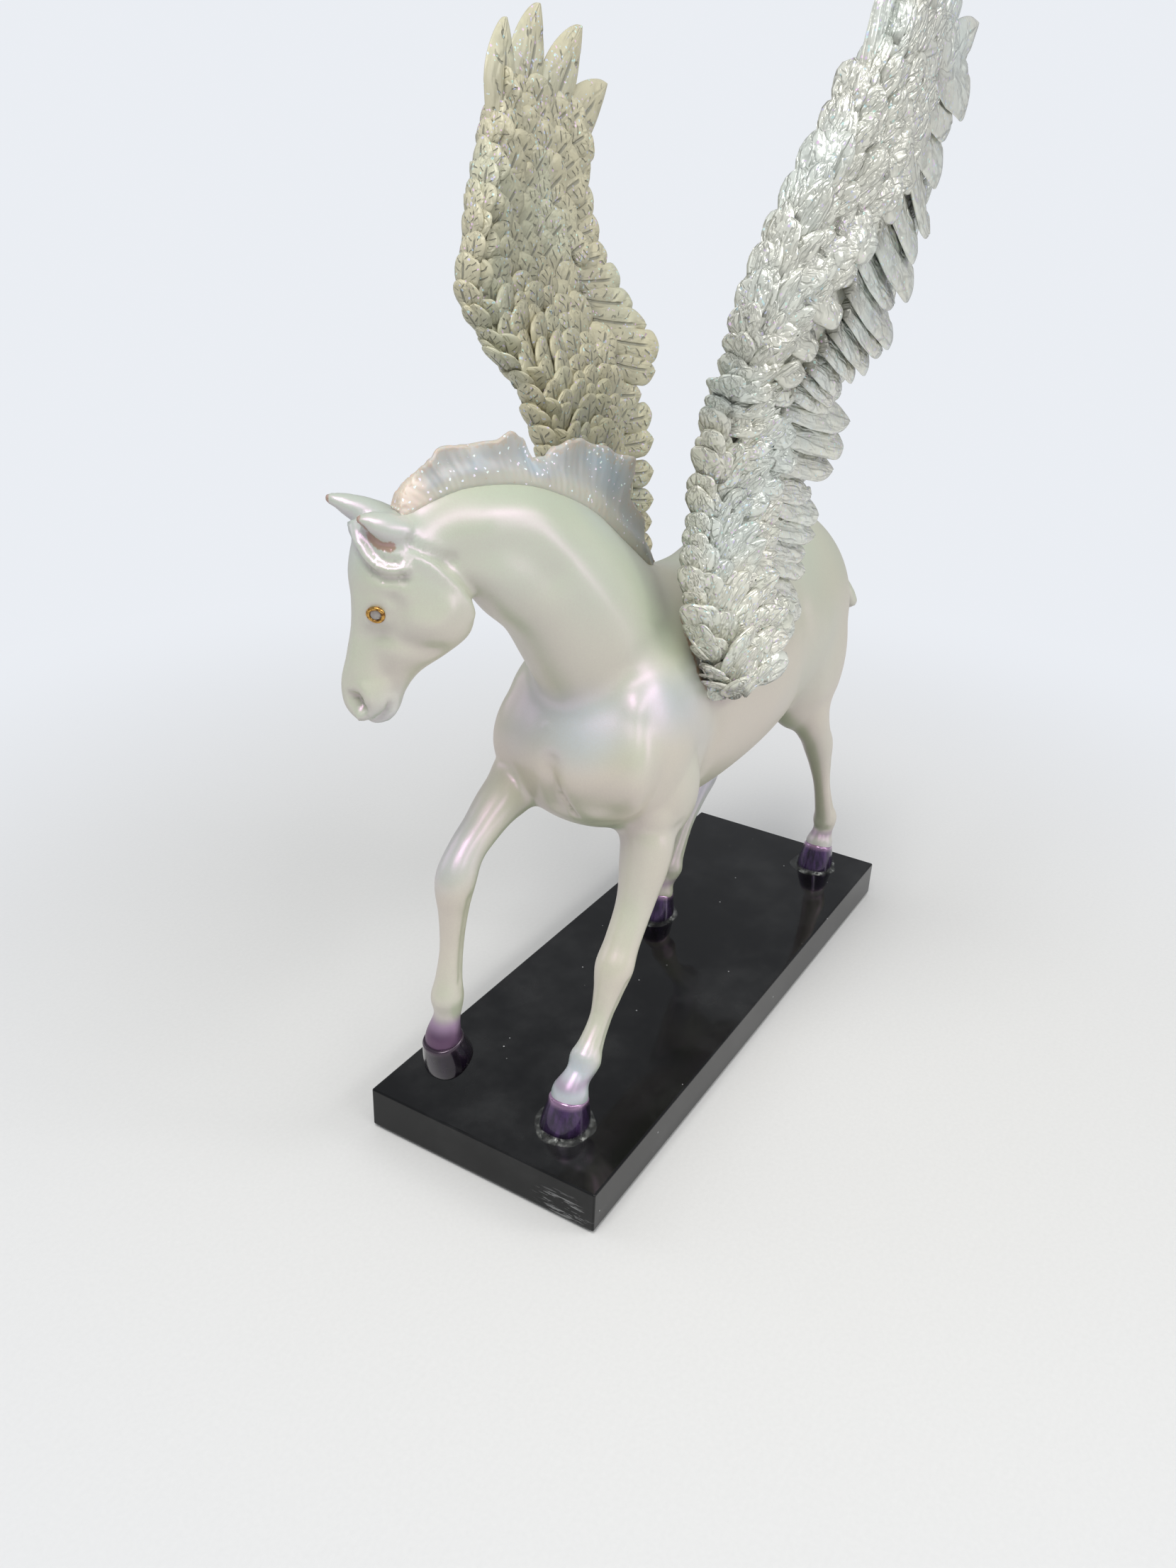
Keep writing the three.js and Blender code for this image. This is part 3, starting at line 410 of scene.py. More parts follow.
def head_point(forward, up, left=0.0):
    """A point of the turned head, given from the poll."""
    c, s = math.cos(head_turn), math.sin(head_turn)
    forward, up, left = np.broadcast_arrays(forward, up, left)
    turned = [forward * c + left * s, left * c - forward * s, up]
    return poll + np.stack(turned, -1)


def ear_line(left, tip):
    """Root and tip of the left ear (1) or the right one (-1)."""
    return head_point(*ear_root, left * ear_root_out), head_point(*tip, left * ear_tip_out)


def ear_opening(left):
    """The way that an ear's hollow faces."""
    return unit(head_point(0.3, -1, left * 0.35) - head_point(0, 0, 0))


head_side = head_point(0, 0, 1) - head_point(0, 0, 0)
forms = []
row = along(torso_rows, np.linspace(0, 1, torso_rings))
back = np.stack([row[:, 0], 0 * row[:, 0], row[:, 1]], 1)
belly = np.stack([row[:, 0], 0 * row[:, 0], row[:, 2]], 1)
sides = np.tile([0.0, 1, 0], (torso_rings, 1))
forms.append(loft(rings_between(back, belly, sides, row[:, 3], row[:, 4])))
forms += [ball(centre, sizes, lean) for centre, sizes, lean in muscles]
t = np.linspace(0, 1, neck_rings)
row = along(neck_rows, t)
sides = sideways(along(neck_rows, t + 0.02)[:, :3] - along(neck_rows, t - 0.02)[:, :3])
forms.append(loft(rings_between(row[:, :3], row[:, 3:6], sides, row[:, 6], crest_narrowing)))
row = along(head_rows, np.linspace(0, 1, head_rings))
brow, jaw = head_point(row[:, 0], row[:, 1]), head_point(row[:, 2], row[:, 3])
forms.append(loft(rings_between(brow, jaw, np.tile(head_side, (head_rings, 1)), row[:, 4])))
for rows in (left_fore_rows, left_hind_rows, right_hind_rows):
    forms.append(limb(rows, leg_rings, True))
forms.append(limb(right_fore_rows, leg_rings))
forms.append(limb(tail_rows, tail_rings))
for left, tip in ear_tips.items():
    t = np.array(ear_rings)[:, None]
    root, end = ear_line(left, tip)
    up = unit(np.cross(end - root, head_side))
    half = ear_half * np.sin(np.pi * (0.34 + 0.62 * np.clip(t, 0, 1))) ** 0.75 + 0.15
    middle = root + (end - root) * t
    sides = np.tile(head_side, (len(ear_rings), 1))
    thick = up * half * 0.8
    forms.append(loft(rings_between(middle + thick, middle - thick, sides, half[:, 0], 0, 24)))

verts = []
faces = []
start = 0
for points, polygons in forms:
    verts.append(points)
    faces += [tuple(int(i) + start for i in f) for f in polygons]
    start += len(points)
verts = (np.vstack(verts) + (0, 0, ground)) * MM
horse = object_of("cast_horse", verts, faces)
join = horse.modifiers.new("Join", "REMESH")
join.mode = "VOXEL"
join.voxel_size = voxel
join.use_smooth_shade = True
baked(horse)

mesh = horse.data
count = len(mesh.vertices)
skin = np.empty(count * 3)
mesh.vertices.foreach_get("co", skin)
skin = skin.reshape(-1, 3) / MM - (0, 0, ground)
edges = np.empty(len(mesh.edges) * 2, int)
mesh.edges.foreach_get("vertices", edges)
ends = np.r_[edges[0::2], edges[1::2]]
others = np.r_[edges[1::2], edges[0::2]]
valence = np.bincount(ends, minlength=count)


def neighbours_mean():
    """For each point of the skin, the mean of the points next to it."""
    return np.stack([np.bincount(ends, skin[others, k], count) for k in range(3)], 1) / valence[:, None]


def soft_zone(centre, radius, power=1.0):
    """How far each point of the skin belongs to a round zone that fades outwards."""
    distance = np.linalg.norm(skin - centre, axis=1) / radius
    return power * np.clip(1.4 - 1.4 * distance, 0, 1)


def relax(weight, times):
    """Smooths the skin where it has weight."""
    for _ in range(times):
        skin[:] += weight[:, None] * (neighbours_mean() - skin)


corners = np.empty(len(mesh.loops), int)
mesh.loops.foreach_get("vertex_index", corners)
quads = corners.reshape(-1, 4)


def outwards():
    """The outward direction at each point of the skin."""
    a, b, c, d = (skin[quads[:, k]] for k in range(4))
    face = np.cross(c - a, d - b)
    total = np.stack([np.bincount(quads.T.ravel(), np.tile(face[:, k], 4), count) for k in range(3)], 1)
    return unit(total)


def fill(weight, rounds):
    """Runs a fillet into creases: points only ever move outwards."""
    for _ in range(rounds):
        out = outwards()
        for _ in range(5):
            step = neighbours_mean() - skin
            rise = np.clip((step * out).sum(1), 0, None)
            slide = step - out * (step * out).sum(1, keepdims=True)
            skin[:] += weight[:, None] * (rise[:, None] * out + slide * 0.5)


# The ears are spared from the smoothing, and fillets run where the forms meet
thin = soft_zone(head_point(7.5, 1, 4), 8) + soft_zone(head_point(10, 2, -4), 9)
relax(0.5 - 0.38 * np.clip(thin, 0, 1), 4)
melt = np.zeros(count)
for centre, radius in fillets:
    melt = np.maximum(melt, soft_zone(centre, radius, 0.7))
fill(melt, 18)
relax(melt * 0.5, 12)


def carve(path, radius, depth):
    """Raises or cuts the skin along a path, with a soft edge."""
    path = np.array(path, float)
    if len(path) > 2:
        path = along(path, np.linspace(0, 1, len(path) * 5))
    near = np.full(count, 1e9)
    for a, b in zip(path, path[1:]) if len(path) > 1 else [(path[0], path[0])]:
        run = b - a
        t = np.clip(((skin - a) @ run) / max(run @ run, 1e-9), 0, 1)
        near = np.minimum(near, ((skin - a - t[:, None] * run) ** 2).sum(1))
    reach = near < (2.6 * radius) ** 2
    skin[reach] += outwards()[reach] * (depth * np.exp(-near[reach] / radius ** 2))[:, None]


# Modelling on the head, on both its cheeks: width and height of each tool mark, then its path
# forward of the poll, above it and to the left
cheek_marks = [
    (2.6, -0.75, [[9.8, -22.4, 4.8], [8.6, -26, 5.3], [7.3, -29.1, 5.3]]),
    (2.3, 0.65, [[6.8, -10.5, 6.9], [4.9, -10.9, 7.6], [3.5, -12, 7.9]]),
    (2.0, -0.7, [[4.6, -13.4, 7.8], [4.0, -16.2, 7.8], [5.2, -19.2, 7.3], [8.2, -20.8, 5.8]]),
    (2.4, 0.5, [[2.0, -17, 8.2], [-3, -18.5, 7.8], [-6, -16, 6.5]]),
    (1.9, -0.75, [[7, -21.2, 6.4], [4.5, -21.9, 7.1], [1.8, -23, 7.3], [-1.1, -24.3, 6.7],
                  [-3.4, -25, 6]]),
    (1.5, 0.75, [[0.3, -4.8, 7], [-1.7, -6.5, 7], [-4.4, -8.8, 6.5], [-7.2, -11.3, 5.3],
                 [-9.7, -14.7, 4.2], [-10.8, -18.5, 3]]),
    (1.2, -1.1, [[1.8, -1.8, 6.1], [0.4, -3.4, 6.7], [-3.6, -5.3, 5.8], [-7.6, -7.7, 4.2]]),
    (1.0, 0.4, [[11.9, -14, 2.9], [11.7, -17.5, 2.6], [12.3, -22.5, 2.3], [13.2, -29.9, 2.6]]),
    (1.6, 0.55, [[9.9, -32.6, 4.6], [8.3, -35.5, 4.8]]),
    (1.3, -0.35, [[5.2, -33.5, 4.6], [6.2, -30.5, 5]]),
    (1.5, 0.4, [[5.6, -38.6, 3.2], [4.8, -37, 3.6]]),
]
fine_marks = [
    (1.1, 1.5, [[11, -0.6, 0.4], [10.2, -2.8, 2.7], [8.9, -5.6, 5], [7, -7, 6.5], [4.6, -7.6, 7.3],
                [2.4, -7, 7.5]]),
    (0.9, -1.1, [[10.4, -4.7, 3.3], [9.3, -7, 4.9], [7.4, -8.6, 6.4], [5.3, -9.2, 7.2], [3, -8.9, 7.6]]),
    (0.65, -0.5, [[9.6, -1.6, 3.6], [8, -4.2, 5.3], [6, -6, 6.6], [3.6, -6.3, 7.2]]),
    (0.7, 0.55, [[6.5, -4.6, 6.3], [5, -4.5, 6.7], [3.3, -4.9, 7.1]]),
    (0.75, 0.4, [[10.6, -16.6, 4.3], [9.4, -14.2, 5.6], [7.2, -13.6, 7], [5.6, -15, 7.5]]),
    (0.6, 0.3, [[10.3, -18.1, 4.6], [8.4, -19.2, 6], [6.1, -18, 7.2]]),
    (1.6, -2.6, [[13.1, -34.9, 3.4], [12.1, -36.8, 4.1]]),
    (0.9, 1.0, [[13.5, -32.6, 2.9], [11.9, -32.3, 4], [10.5, -34.2, 4.7], [10.6, -37.3, 4.7],
                [11.9, -39, 3.2]]),
    (0.8, -1.3, [[5.9, -36.6, 4.6], [6.9, -38.2, 4.4], [8.2, -39.3, 4], [10.6, -40.2, 2.4],
                 [11.3, -40.4, 0]]),
    (0.7, 0.35, [[4.9, -36, 4.2], [5.2, -38.2, 3.9], [6.6, -39.8, 3.4]]),
]
for marks in (cheek_marks, fine_marks):
    for radius, depth, path in marks:
        for left in (1, -1):
            forward, up, out = np.array(path).T
            carve(head_point(forward, up, out * left), radius, depth)

# Ears: the opening is hollowed out on the side that looks forward
for left, tip in ear_tips.items():
    root, end = ear_line(left, tip)
    open_side = ear_opening(left) * 2.4
    low, high = root + (end - root) * 0.3 + open_side, root + (end - root) * 0.82 + open_side * 0.5
    carve([low, high], 1.1, -1.5)

# Modelling on the body, on both its sides: width and height of each tool mark, then its path.
# On the neck the right side's marks follow its bend: forward, distance to the right
neck_bend = ([40, 64, 75, 87, 95, 101], [0, 2.5, 4.4, 7.5, 9.5, 12.5])
body_marks = [
    (4.5, -1.0, [[93.7, -3.3, 147.2], [89.1, -0.6, 146.8], [84.4, 1.4, 146.4], [79.3, 3.3, 144.1],
                 [74.3, 5.1, 139.5]]),
    (4.5, 0.6, [[85.9, -1.2, 153.4], [76.5, 1.9, 151.8], [72, 4.4, 147.3], [64.5, 8.2, 136.8],
                [59.3, 10.4, 128.9], [54.3, 12.4, 119.8]]),
    (5.0, -0.9, [[60.6, 12.6, 106], [61.8, 13.4, 98], [62.4, 13.6, 90], [61.5, 13, 82]]),
    (4.2, 0.9, [[57.2, 18, 105.5], [58, 18.8, 97.2], [58.8, 19.3, 88.8], [57, 18.6, 80.5]]),
    (3.2, -0.9, [[24, 21, 110], [23, 22.5, 98], [20.5, 22.5, 88], [21.5, 20, 76]]),
    (2.6, -0.7, [[66, 0, 92], [65.5, 0, 86], [63.5, 0, 79]]),
    (2.4, -0.8, [[57, 10, 74.5], [55, 14, 73.5], [52, 18, 72.5], [46, 21, 71], [40, 21.5, 69.5]]),
    (2.4, 0.4, [[60.5, 9.5, 78], [58.5, 14, 77.5], [55.5, 18.5, 76.5]]),
    (4.0, -0.8, [[-30, 22, 108], [-33, 23, 96], [-36, 22, 84], [-40, 19, 74]]),
    (4.0, 0.6, [[-46, 21.5, 100], [-48, 22, 88], [-52, 20.5, 76]]),
    (2.4, -0.5, [[-84, 6.5, 102], [-79, 12, 92], [-72, 16, 82], [-66, 18, 72]]),
    (3.0, -0.6, [[-8, 0, 129.5], [8, 0, 130], [20, 0, 131]]),
]
for radius, depth, path in body_marks:
    for left in (1, -1):
        x, y, z = np.array(path, float).T
        bend = -np.interp(x, *neck_bend) * (z > 118)
        carve(np.stack([x, bend + (y - bend) * left, z], 1), radius, depth)
# Nicks and a cast blister on the chest
nicks = [
    (0.7, -1.3, [[63.6, 2.2, 83], [62.8, 3.4, 80], [61.4, 4.4, 77.4]]),
    (1.1, -0.5, [[65.4, -0.6, 90], [64.8, 0.6, 87], [64, 2, 83]]),
    (0.6, -0.5, [[63.8, -13.3, 86.7]]),
    (0.45, 0.35, [[63.6, -2.6, 98.2], [63.6, -1.6, 99.3], [63.5, -2.6, 100.6], [63.6, -3.4, 99.4],
                  [63.6, -2.6, 98.2]]),
]
for radius, depth, path in nicks:
    carve(path, radius, depth)

# Legs: a groove between the bone and the tendons, and a knob behind each fetlock
for rows, foot, top in (
    (left_fore_rows, 7, 9), (right_fore_rows, 6, 8), (left_hind_rows, 7, 9), (right_hind_rows, 7, 9),
):
    rows = np.array(rows)
    t = np.linspace(foot, top + 0.6, 6) / (len(rows) - 1)
    row = along(rows, t)
    way = unit(along(rows, t + 0.01)[:, :3] - along(rows, t - 0.01)[:, :3])
    out = unit(np.array([[0, 1, 0]]) - way * way[:, 1:2])
    back = -np.cross(out, way)
    for left in (1, -1):
        middle = row[:, :3] + out * row[:, 4:5] * left
        carve(middle + back * row[:, 3:4] * 0.1, 0.85, -0.5)
    knob = row[0, :3] + back[0] * row[0, 3]
    carve([knob], 1.3, 0.5)

over = np.clip(skin[:, 0] - muzzle_front, 0, None)
skin[:, 0] -= over - rounding * (1 - np.exp(-over / rounding))

mesh.vertices.foreach_set("co", ((skin + (0, 0, ground)) * MM).ravel())
mesh.update()


def on_skin(points):
    """The points of the skin that lie nearest."""
    return [skin[np.argmin(((skin - q) ** 2).sum(1))] for q in points]


def brushed(paths, radius):
    """How much of a painted colour lies on the skin round some paths."""
    most = np.zeros(count)
    for path in paths:
        path = along(np.array(path, float), np.linspace(0, 1, len(path) * 6))
        gap = np.min([((skin - q) ** 2).sum(1) for q in path], axis=0)
        most = np.maximum(most, np.exp(-gap / radius ** 2))
    return most


# Brown wash in the ears and nostrils. Along an ear's edge: share of its length, then how far out
ear_edge = ((0.2, 3), (0.4, 3), (0.6, 2.5), (0.8, 1.8), (1.0, 0.5))
nostril = ((13, -34.6, 3.5), (12, -37, 4))
edges_of_ears = []
for left, tip in ear_tips.items():
    root, end = ear_line(left, tip)
    edges_of_ears.append(on_skin(root + (end - root) * k + ear_opening(left) * d for k, d in ear_edge))
umber = brushed(edges_of_ears, 1.3)
nostrils = [[head_point(f, u, w * left) for f, u, w in nostril] for left in (1, -1)]
umber = np.maximum(umber, brushed(nostrils, 1.5) * 0.6)
# Glue that has yellowed along the front of the left wing's foot
seam = [
    [26.9, 11.9, 120], [28.6, 14.5, 116], [30, 18.7, 108.8], [27.8, 19.7, 104.2], [24.6, 20.5, 100.6],
    [19.4, 21.2, 97.9],
]
umber = np.maximum(umber, brushed([on_skin(np.array(seam))], 1.1) * 0.75)
# Violet sprayed from the standing hooves up the pasterns; the raised leg is made darker towards
# its hoof, violet and then nearly black
violet_mist = np.zeros(count)
for rows in (left_fore_rows, left_hind_rows, right_hind_rows):
    ring = along(np.array(rows)[:, :3], 3.9 / (len(rows) - 1))[0]
    near = np.linalg.norm(skin - ring, axis=1) < 9
    spray = 0.6 * np.exp(-((skin[near, 2] - ring[2]) / 1.5) ** 2)
    violet_mist[near] = np.maximum(violet_mist[near], spray)
raised = (np.abs(skin[:, 0] - 89) < 9) & (skin[:, 1] < -5) & (skin[:, 2] < 36)
fade = np.clip((32 - skin[:, 2]) / 9, 0, 1)
violet_mist[raised] = (1.6 * fade * fade * (3 - 2 * fade))[raised]


def keep(mesh, name, values):
    """Keeps a value at each point of a mesh, for its material to read."""
    mesh.attributes.new(name, "FLOAT", "POINT").data.foreach_set("value", values)


def kept(tree, name):
    return wire(tree, "ShaderNodeAttribute", attribute_name=name).outputs["Fac"]


keep(mesh, "umber", umber)
keep(mesh, "violet", violet_mist)

# Flakes of mica or glitter: two random values for each, and which of them glint, in what tint
flakes, given = new_group(
    "Flakes", "ShaderNodeTree",
    {"Place": "Vector", "Scale": "Float", "Extra": "Float", "Threshold": "Float", "Saturation": "Float"},
    {"First": "Float", "Second": "Float", "Glint": "Float", "Tint": "Color"},
)
cells = wire(flakes, "ShaderNodeTexVoronoi", {"Vector": given["Place"], "Scale": given["Scale"]})
chance = wire(flakes, "ShaderNodeSeparateColor", {0: cells.outputs["Color"]}).outputs
glint = sums(flakes, "GREATER_THAN", sums(flakes, "ADD", chance[0], given["Extra"]), given["Threshold"])
hue = sums(flakes, "MULTIPLY_ADD", chance[1], 0.42, 0.42)
tint = wire(flakes, "ShaderNodeCombineColor", {0: hue, 1: given["Saturation"], 2: 1.0}, mode="HSV")
links = {"First": chance[0], "Second": chance[1], "Glint": glint, "Tint": tint.outputs[0]}
wire(flakes, "NodeGroupOutput", links)


def flaked(tree, place, scale, extra=0.0, threshold=1.0, saturation=0.0):
    links = {
        "Place": place, "Scale": scale, "Extra": extra, "Threshold": threshold, "Saturation": saturation,
    }
    return wire(tree, "ShaderNodeGroup", links, node_tree=flakes).outputs


pearl, tree, shader, place = new_material(
    "Pearl lacquer", Roughness=0.4, Coat_Weight=0.06, Coat_Roughness=0.25,
    Specular_Tint=(1.0, 0.56, 1.0, 1), Specular_IOR_Level=0.75,
)
drift = between(tree, noise(tree, place, 16, 2), 0.35, 0.65)
cool = between(tree, noise(tree, place, 23, 1), 0.5, 0.75)
mica = flaked(tree, place, 3200.0)
colour = blend(tree, drift, *pearl_greens)
colour = blend(tree, cool, colour, pearl_blue)
colour = blend(tree, sums(tree, "MULTIPLY", mica["First"], 0.22), colour, pearl_flake)
painted = kept(tree, "violet")
mist = between(tree, painted, 0, 1)
colour = blend(tree, mist, colour, mist_violet)
colour = blend(tree, between(tree, painted, 0.8, 1.6), colour, hoof_black)
broken = sums(tree, "ADD", kept(tree, "umber"), noise(tree, place, 700, 4, 0.7))
broken = between(tree, broken, 0.85, 1.15)
colour = blend(tree, sums(tree, "MULTIPLY", broken, 0.85), colour, ear_brown)
feed(tree, shader, Base_Color=colour)
peel = sums(tree, "MULTIPLY_ADD", mica["Second"], 0.5, noise(tree, place, 420, 3, 0.6))
skim = dented(tree, shader, peel, 0.16, 0.00012)
# The lustre: a second, lilac shine laid over the lacquer, weaker where violet is sprayed on it
links = {"Color": lustre_lilac, "Roughness": 0.34, "Normal": skim}
lustre = wire(tree, "ShaderNodeBsdfAnisotropic", links)
share = sums(tree, "MULTIPLY_ADD", mist, -0.07, 0.13)
pair = wire(tree, "ShaderNodeMixShader", {0: share, 1: shader.outputs[0], 2: lustre.outputs[0]})
feed(tree, tree.nodes["Material Output"], Surface=pair.outputs[0])
horse.data.materials.append(pearl)
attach(horse, "root")
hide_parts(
    "body_casting", "left_fore_leg", "right_fore_leg", "left_hind_leg", "right_hind_leg", "tail",
)

# The hooves: the ends of the legs, painted a metallic violet over the pearl. Each wall slopes,
# carries a painted pink highlight along the coronet and darkens towards the sole; the raised
# hoof is made nearly black.

# Middle of the sole, half length, half width and how far the toe points down in degrees
hoof_places = {
    "left_fore_hoof": [(77.8, 14.8, 0), 6.8, 6.1, 0],
    "left_hind_hoof": [(-82.2, 17, 0), 6.5, 5.9, 0],
    "right_hind_hoof": [(-21.8, -14, 0), 6.5, 5.9, 0],
    "right_fore_hoof": [(87.6, -14, 14.9), 6.6, 6.1, 30],
}
# Height of the wall at toe and heel, and how far the coronet is set back over the sole
toe_height, heel_height, coronet_back = 9.2, 6.4, 1.7
# The outline: how oval it is, where 1 is an oval and less is squarer, and its length behind as a
# share of that in front
squareness, heel_share, hoof_corners = 0.86, 0.88, 72
# From the sole to the coronet: share of the height, share of the width
hoof_profile = [
    (0, 0.93), (0, 0.98), (0.025, 1.0), (0.08, 1.0), (0.2, 0.985), (0.35, 0.955), (0.5, 0.915),
    (0.65, 0.875), (0.8, 0.83), (0.9, 0.803), (0.955, 0.79), (0.99, 0.765), (1.0, 0.72), (0.97, 0.6),
]
violet_low, violet_high = (0.022, 0.012, 0.04, 1), (0.085, 0.04, 0.14, 1)
coronet_highlight_pink = (0.42, 0.26, 0.42, 1)
sole_black = (0.01, 0.006, 0.012, 1)
# The raised hoof is made nearly black: its colour, and how much of it covers the violet
raised_hoof_black, raised_hoof_share = (0.009, 0.005, 0.01, 1), 0.9

violet, tree, shader, place = new_material(
    "Violet lacquer", Metallic=0.75, Roughness=0.28, Coat_Weight=0.8, Coat_Roughness=0.1,
)
tint = drawn_out(tree, place, (1, 1, 0.12), 520, 0.6)
mottle = noise(tree, place, 300, 3)
high = kept(tree, "coronet")
colour = blend(tree, between(tree, tint, 0.35, 0.7), violet_low, violet_high)
# A painted highlight: the coronet rim turns pink
colour = blend(tree, between(tree, high, 0.78, 1), colour, coronet_highlight_pink)
colour = blend(tree, between(tree, high, 0.2, 0), colour, sole_black)
colour = blend(tree, kept(tree, "dark"), colour, raised_hoof_black)
feed(tree, shader, Base_Color=colour, Roughness=sums(tree, "MULTIPLY_ADD", mottle, 0.16, 0.18))
dented(tree, shader, sums(tree, "ADD", mottle, tint), 0.3, 0.0002)

around = np.linspace(0, 2 * np.pi, hoof_corners, endpoint=False)
front = np.sign(np.cos(around)) * np.abs(np.cos(around)) ** squareness
front = np.where(front < 0, front * heel_share, front)
across = np.sign(np.sin(around)) * np.abs(np.sin(around)) ** squareness
wall = heel_height + (toe_height - heel_height) * (0.5 + 0.5 * front)
for name, (sole, half_length, half_width, tip) in hoof_places.items():
    rings = []
    for t, spread in hoof_profile:
        forward = front * half_length * spread - coronet_back * t
        rings.append(np.stack([forward, across * half_width * spread, t * wall], 1))
    verts, faces = loft(tilted(np.array(rings), tip) + sole + (0, 0, ground))
    hoof = object_of(name, verts * MM, faces)
    smooth_faces(hoof)
    keep(hoof.data, "coronet", np.r_[np.repeat([t for t, _ in hoof_profile], hoof_corners), 0, 1])
    keep(hoof.data, "dark", np.full(len(verts), raised_hoof_share if tip else 0.0))
    hoof.data.materials.append(violet)
    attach(hoof, "root")

# The mane: a fin cast apart and set in a slot along the crest. It stands proud of the neck in a
# rounded ledge, thins towards a wavy edge, and is glittered over blue with a sponged brown rim.

# Along the crest from the withers to the poll: share of the length, height of the fin
mane_heights = [
    [0, 1.5], [0.037, 4], [0.065, 8.5], [0.12, 9.2], [0.157, 14.8], [0.194, 16], [0.258, 14],
    [0.35, 12.4], [0.405, 11], [0.442, 8.5], [0.47, 5.8], [0.516, 4.8], [0.562, 8.6], [0.6, 9.6],
    [0.65, 8], [0.7, 7.3], [0.733, 7.7], [0.764, 8], [0.796, 8], [0.827, 7], [0.859, 6], [0.89, 5],
    [0.921, 4.1], [0.953, 3.3], [1, 1.2],
]
# Start and end on the neck, depth in its slot, half thickness at the ledge and at the edge
mane_from, mane_to, mane_foot, ledge_half, edge_half = 0.03, 0.985, 1.6, 2.1, 0.6
steps, up_steps = 360, 26
mane_pale, mane_grey = (0.52, 0.52, 0.44, 1), (0.47, 0.48, 0.46, 1)
glitter_blue = (0.36, 0.47, 0.54, 1)
mane_end, rim_brown, rim_beige = (0.72, 0.63, 0.54, 1), (0.5, 0.4, 0.28, 1), (0.7, 0.64, 0.52, 1)

t = np.linspace(0, 1, steps)
place = mane_from + (mane_to - mane_from) * t
row = along(neck_rows, place)
crest = row[:, :3]
ahead = along(neck_rows, place + 0.01)[:, :3] - along(neck_rows, place - 0.01)[:, :3]
side = sideways(ahead)
up = unit(np.cross(side, ahead))
up = up * np.sign(up[:, 2:3])
down = unit(row[:, 3:6] - crest)
table = np.array(mane_heights)
i = np.clip(np.searchsorted(table[:, 0], t, side="right") - 1, 0, len(table) - 2)
u = (t - table[i, 0]) / (table[i + 1, 0] - table[i, 0])
tall = table[i, 1] + (table[i + 1, 1] - table[i, 1]) * (3 * u ** 2 - 2 * u ** 3)
tall = tall * (1 + 0.012 * np.sin(75 * t))
level = np.r_[-1, np.linspace(0, 1, up_steps)]
rings, flat = [], []
for k in range(steps):
    left, right = [], []
    for v in level:
        if v < 0:
            left.append(crest[k] + down[k] * mane_foot + side[k] * ledge_half * 0.8)
            right.append(crest[k] + down[k] * mane_foot - side[k] * ledge_half * 0.8)
            continue
        high = tall[k] * v
        sway = 0.9 * math.sin(11 * t[k]) * min(tall[k] / 8, 1) * v ** 1.3
        ripple = 0.7 * math.sin(30 * t[k] + 1.8 * v) + 0.35 * math.sin(57 * t[k] - 3 * v)
        sway += ripple * v ** 1.4 * min(tall[k] / 7, 1)
        half = edge_half + (ledge_half - edge_half) * math.exp(-((high / 3.4) ** 2))
        half = half + 0.35 * math.exp(-((high - 2.6) / 1.3) ** 2)
        half *= math.sqrt(max(1 - max(v - 0.94, 0) ** 2 / 0.0036 * 0.75, 0.1))
        lock = 0.5 + 0.5 * math.sin(88 * t[k] - 5 * v + 1.5 * math.sin(9 * t[k]))
        hair = 0.22 * lock ** 3 * min(v * 2, 1) + 0.03 * math.sin(260 * t[k] - 9 * v)
        left.append(crest[k] + up[k] * high + side[k] * (sway + half + hair - 0.08))
        right.append(crest[k] + up[k] * high + side[k] * (sway - half - hair + 0.08))
    rings.append(left + right[::-1])
    flat.append([(t[k], max(v, 0)) for v in (*level, *level[::-1])])
verts, faces = loft(np.array(rings) + (0, 0, ground))
mane = object_of("cast_mane", verts * MM, faces)
smooth_faces(mane)


def chart_on(obj, flat):
    """Gives each point of a mesh its place on a flat chart, for its material to read."""
    corner = np.empty(len(obj.data.loops), int)
    obj.data.loops.foreach_get("vertex_index", corner)
    obj.data.uv_layers.new(name="UVMap").data.foreach_set("uv", flat[corner].ravel())


chart_on(mane, np.vstack([np.array(flat).reshape(-1, 2), [[0, 0.5], [1, 0.5]]]))

frost, tree, shader, place = new_material(
    "Glittered pearl", Roughness=0.4, Coat_Weight=0.2, Coat_Roughness=0.2,
    Specular_Tint=(1.0, 0.8, 1.0, 1), Subsurface_Weight=0.25, Subsurface_Scale=0.0015,
)
chart = wire(tree, "ShaderNodeSeparateXYZ", {0: place.node.outputs["UV"]})
onward, up = chart.outputs[0], chart.outputs[1]
patch = between(tree, noise(tree, place, 60, 1), 0.4, 0.7)
patch = sums(tree, "MULTIPLY", patch, between(tree, up, 0.2, 0.5))
body = blend(tree, between(tree, up, 0.1, 0.4), mane_pale, mane_grey)
body = blend(tree, patch, body, glitter_blue)
body = blend(tree, between(tree, onward, 0.84, 0.92), body, mane_end)
rim = between(tree, up, 0.62, 1.0)
dots = noise(tree, place, 900, 2, 0.6)
sponged = between(tree, sums(tree, "MULTIPLY_ADD", rim, 0.24, dots), 0.66, 0.76)
body = blend(tree, sums(tree, "MULTIPLY", sponged, 0.5), body, rim_brown)
body = blend(tree, sums(tree, "MULTIPLY", rim, 0.3), body, rim_beige)
glitter = flaked(tree, place, 2300.0, sums(tree, "MULTIPLY", patch, 0.05), 0.985, 0.14)
body = blend(tree, glitter["Glint"], body, glitter["Tint"])
dull = sums(tree, "MULTIPLY_ADD", glitter["Glint"], -0.3, 0.4)
feed(tree, shader, Base_Color=body, Roughness=dull)
dented(tree, shader, noise(tree, place, 600, 3), 0.35, 0.0002)
mane.data.materials.append(frost)
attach(mane, "root")
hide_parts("mane")

# The eyes: a clear cut stone in a ring of gilt wire, pressed into either side of the head. The
# ring isn't quite round and its gilding is worn, and the stone is a little clouded.

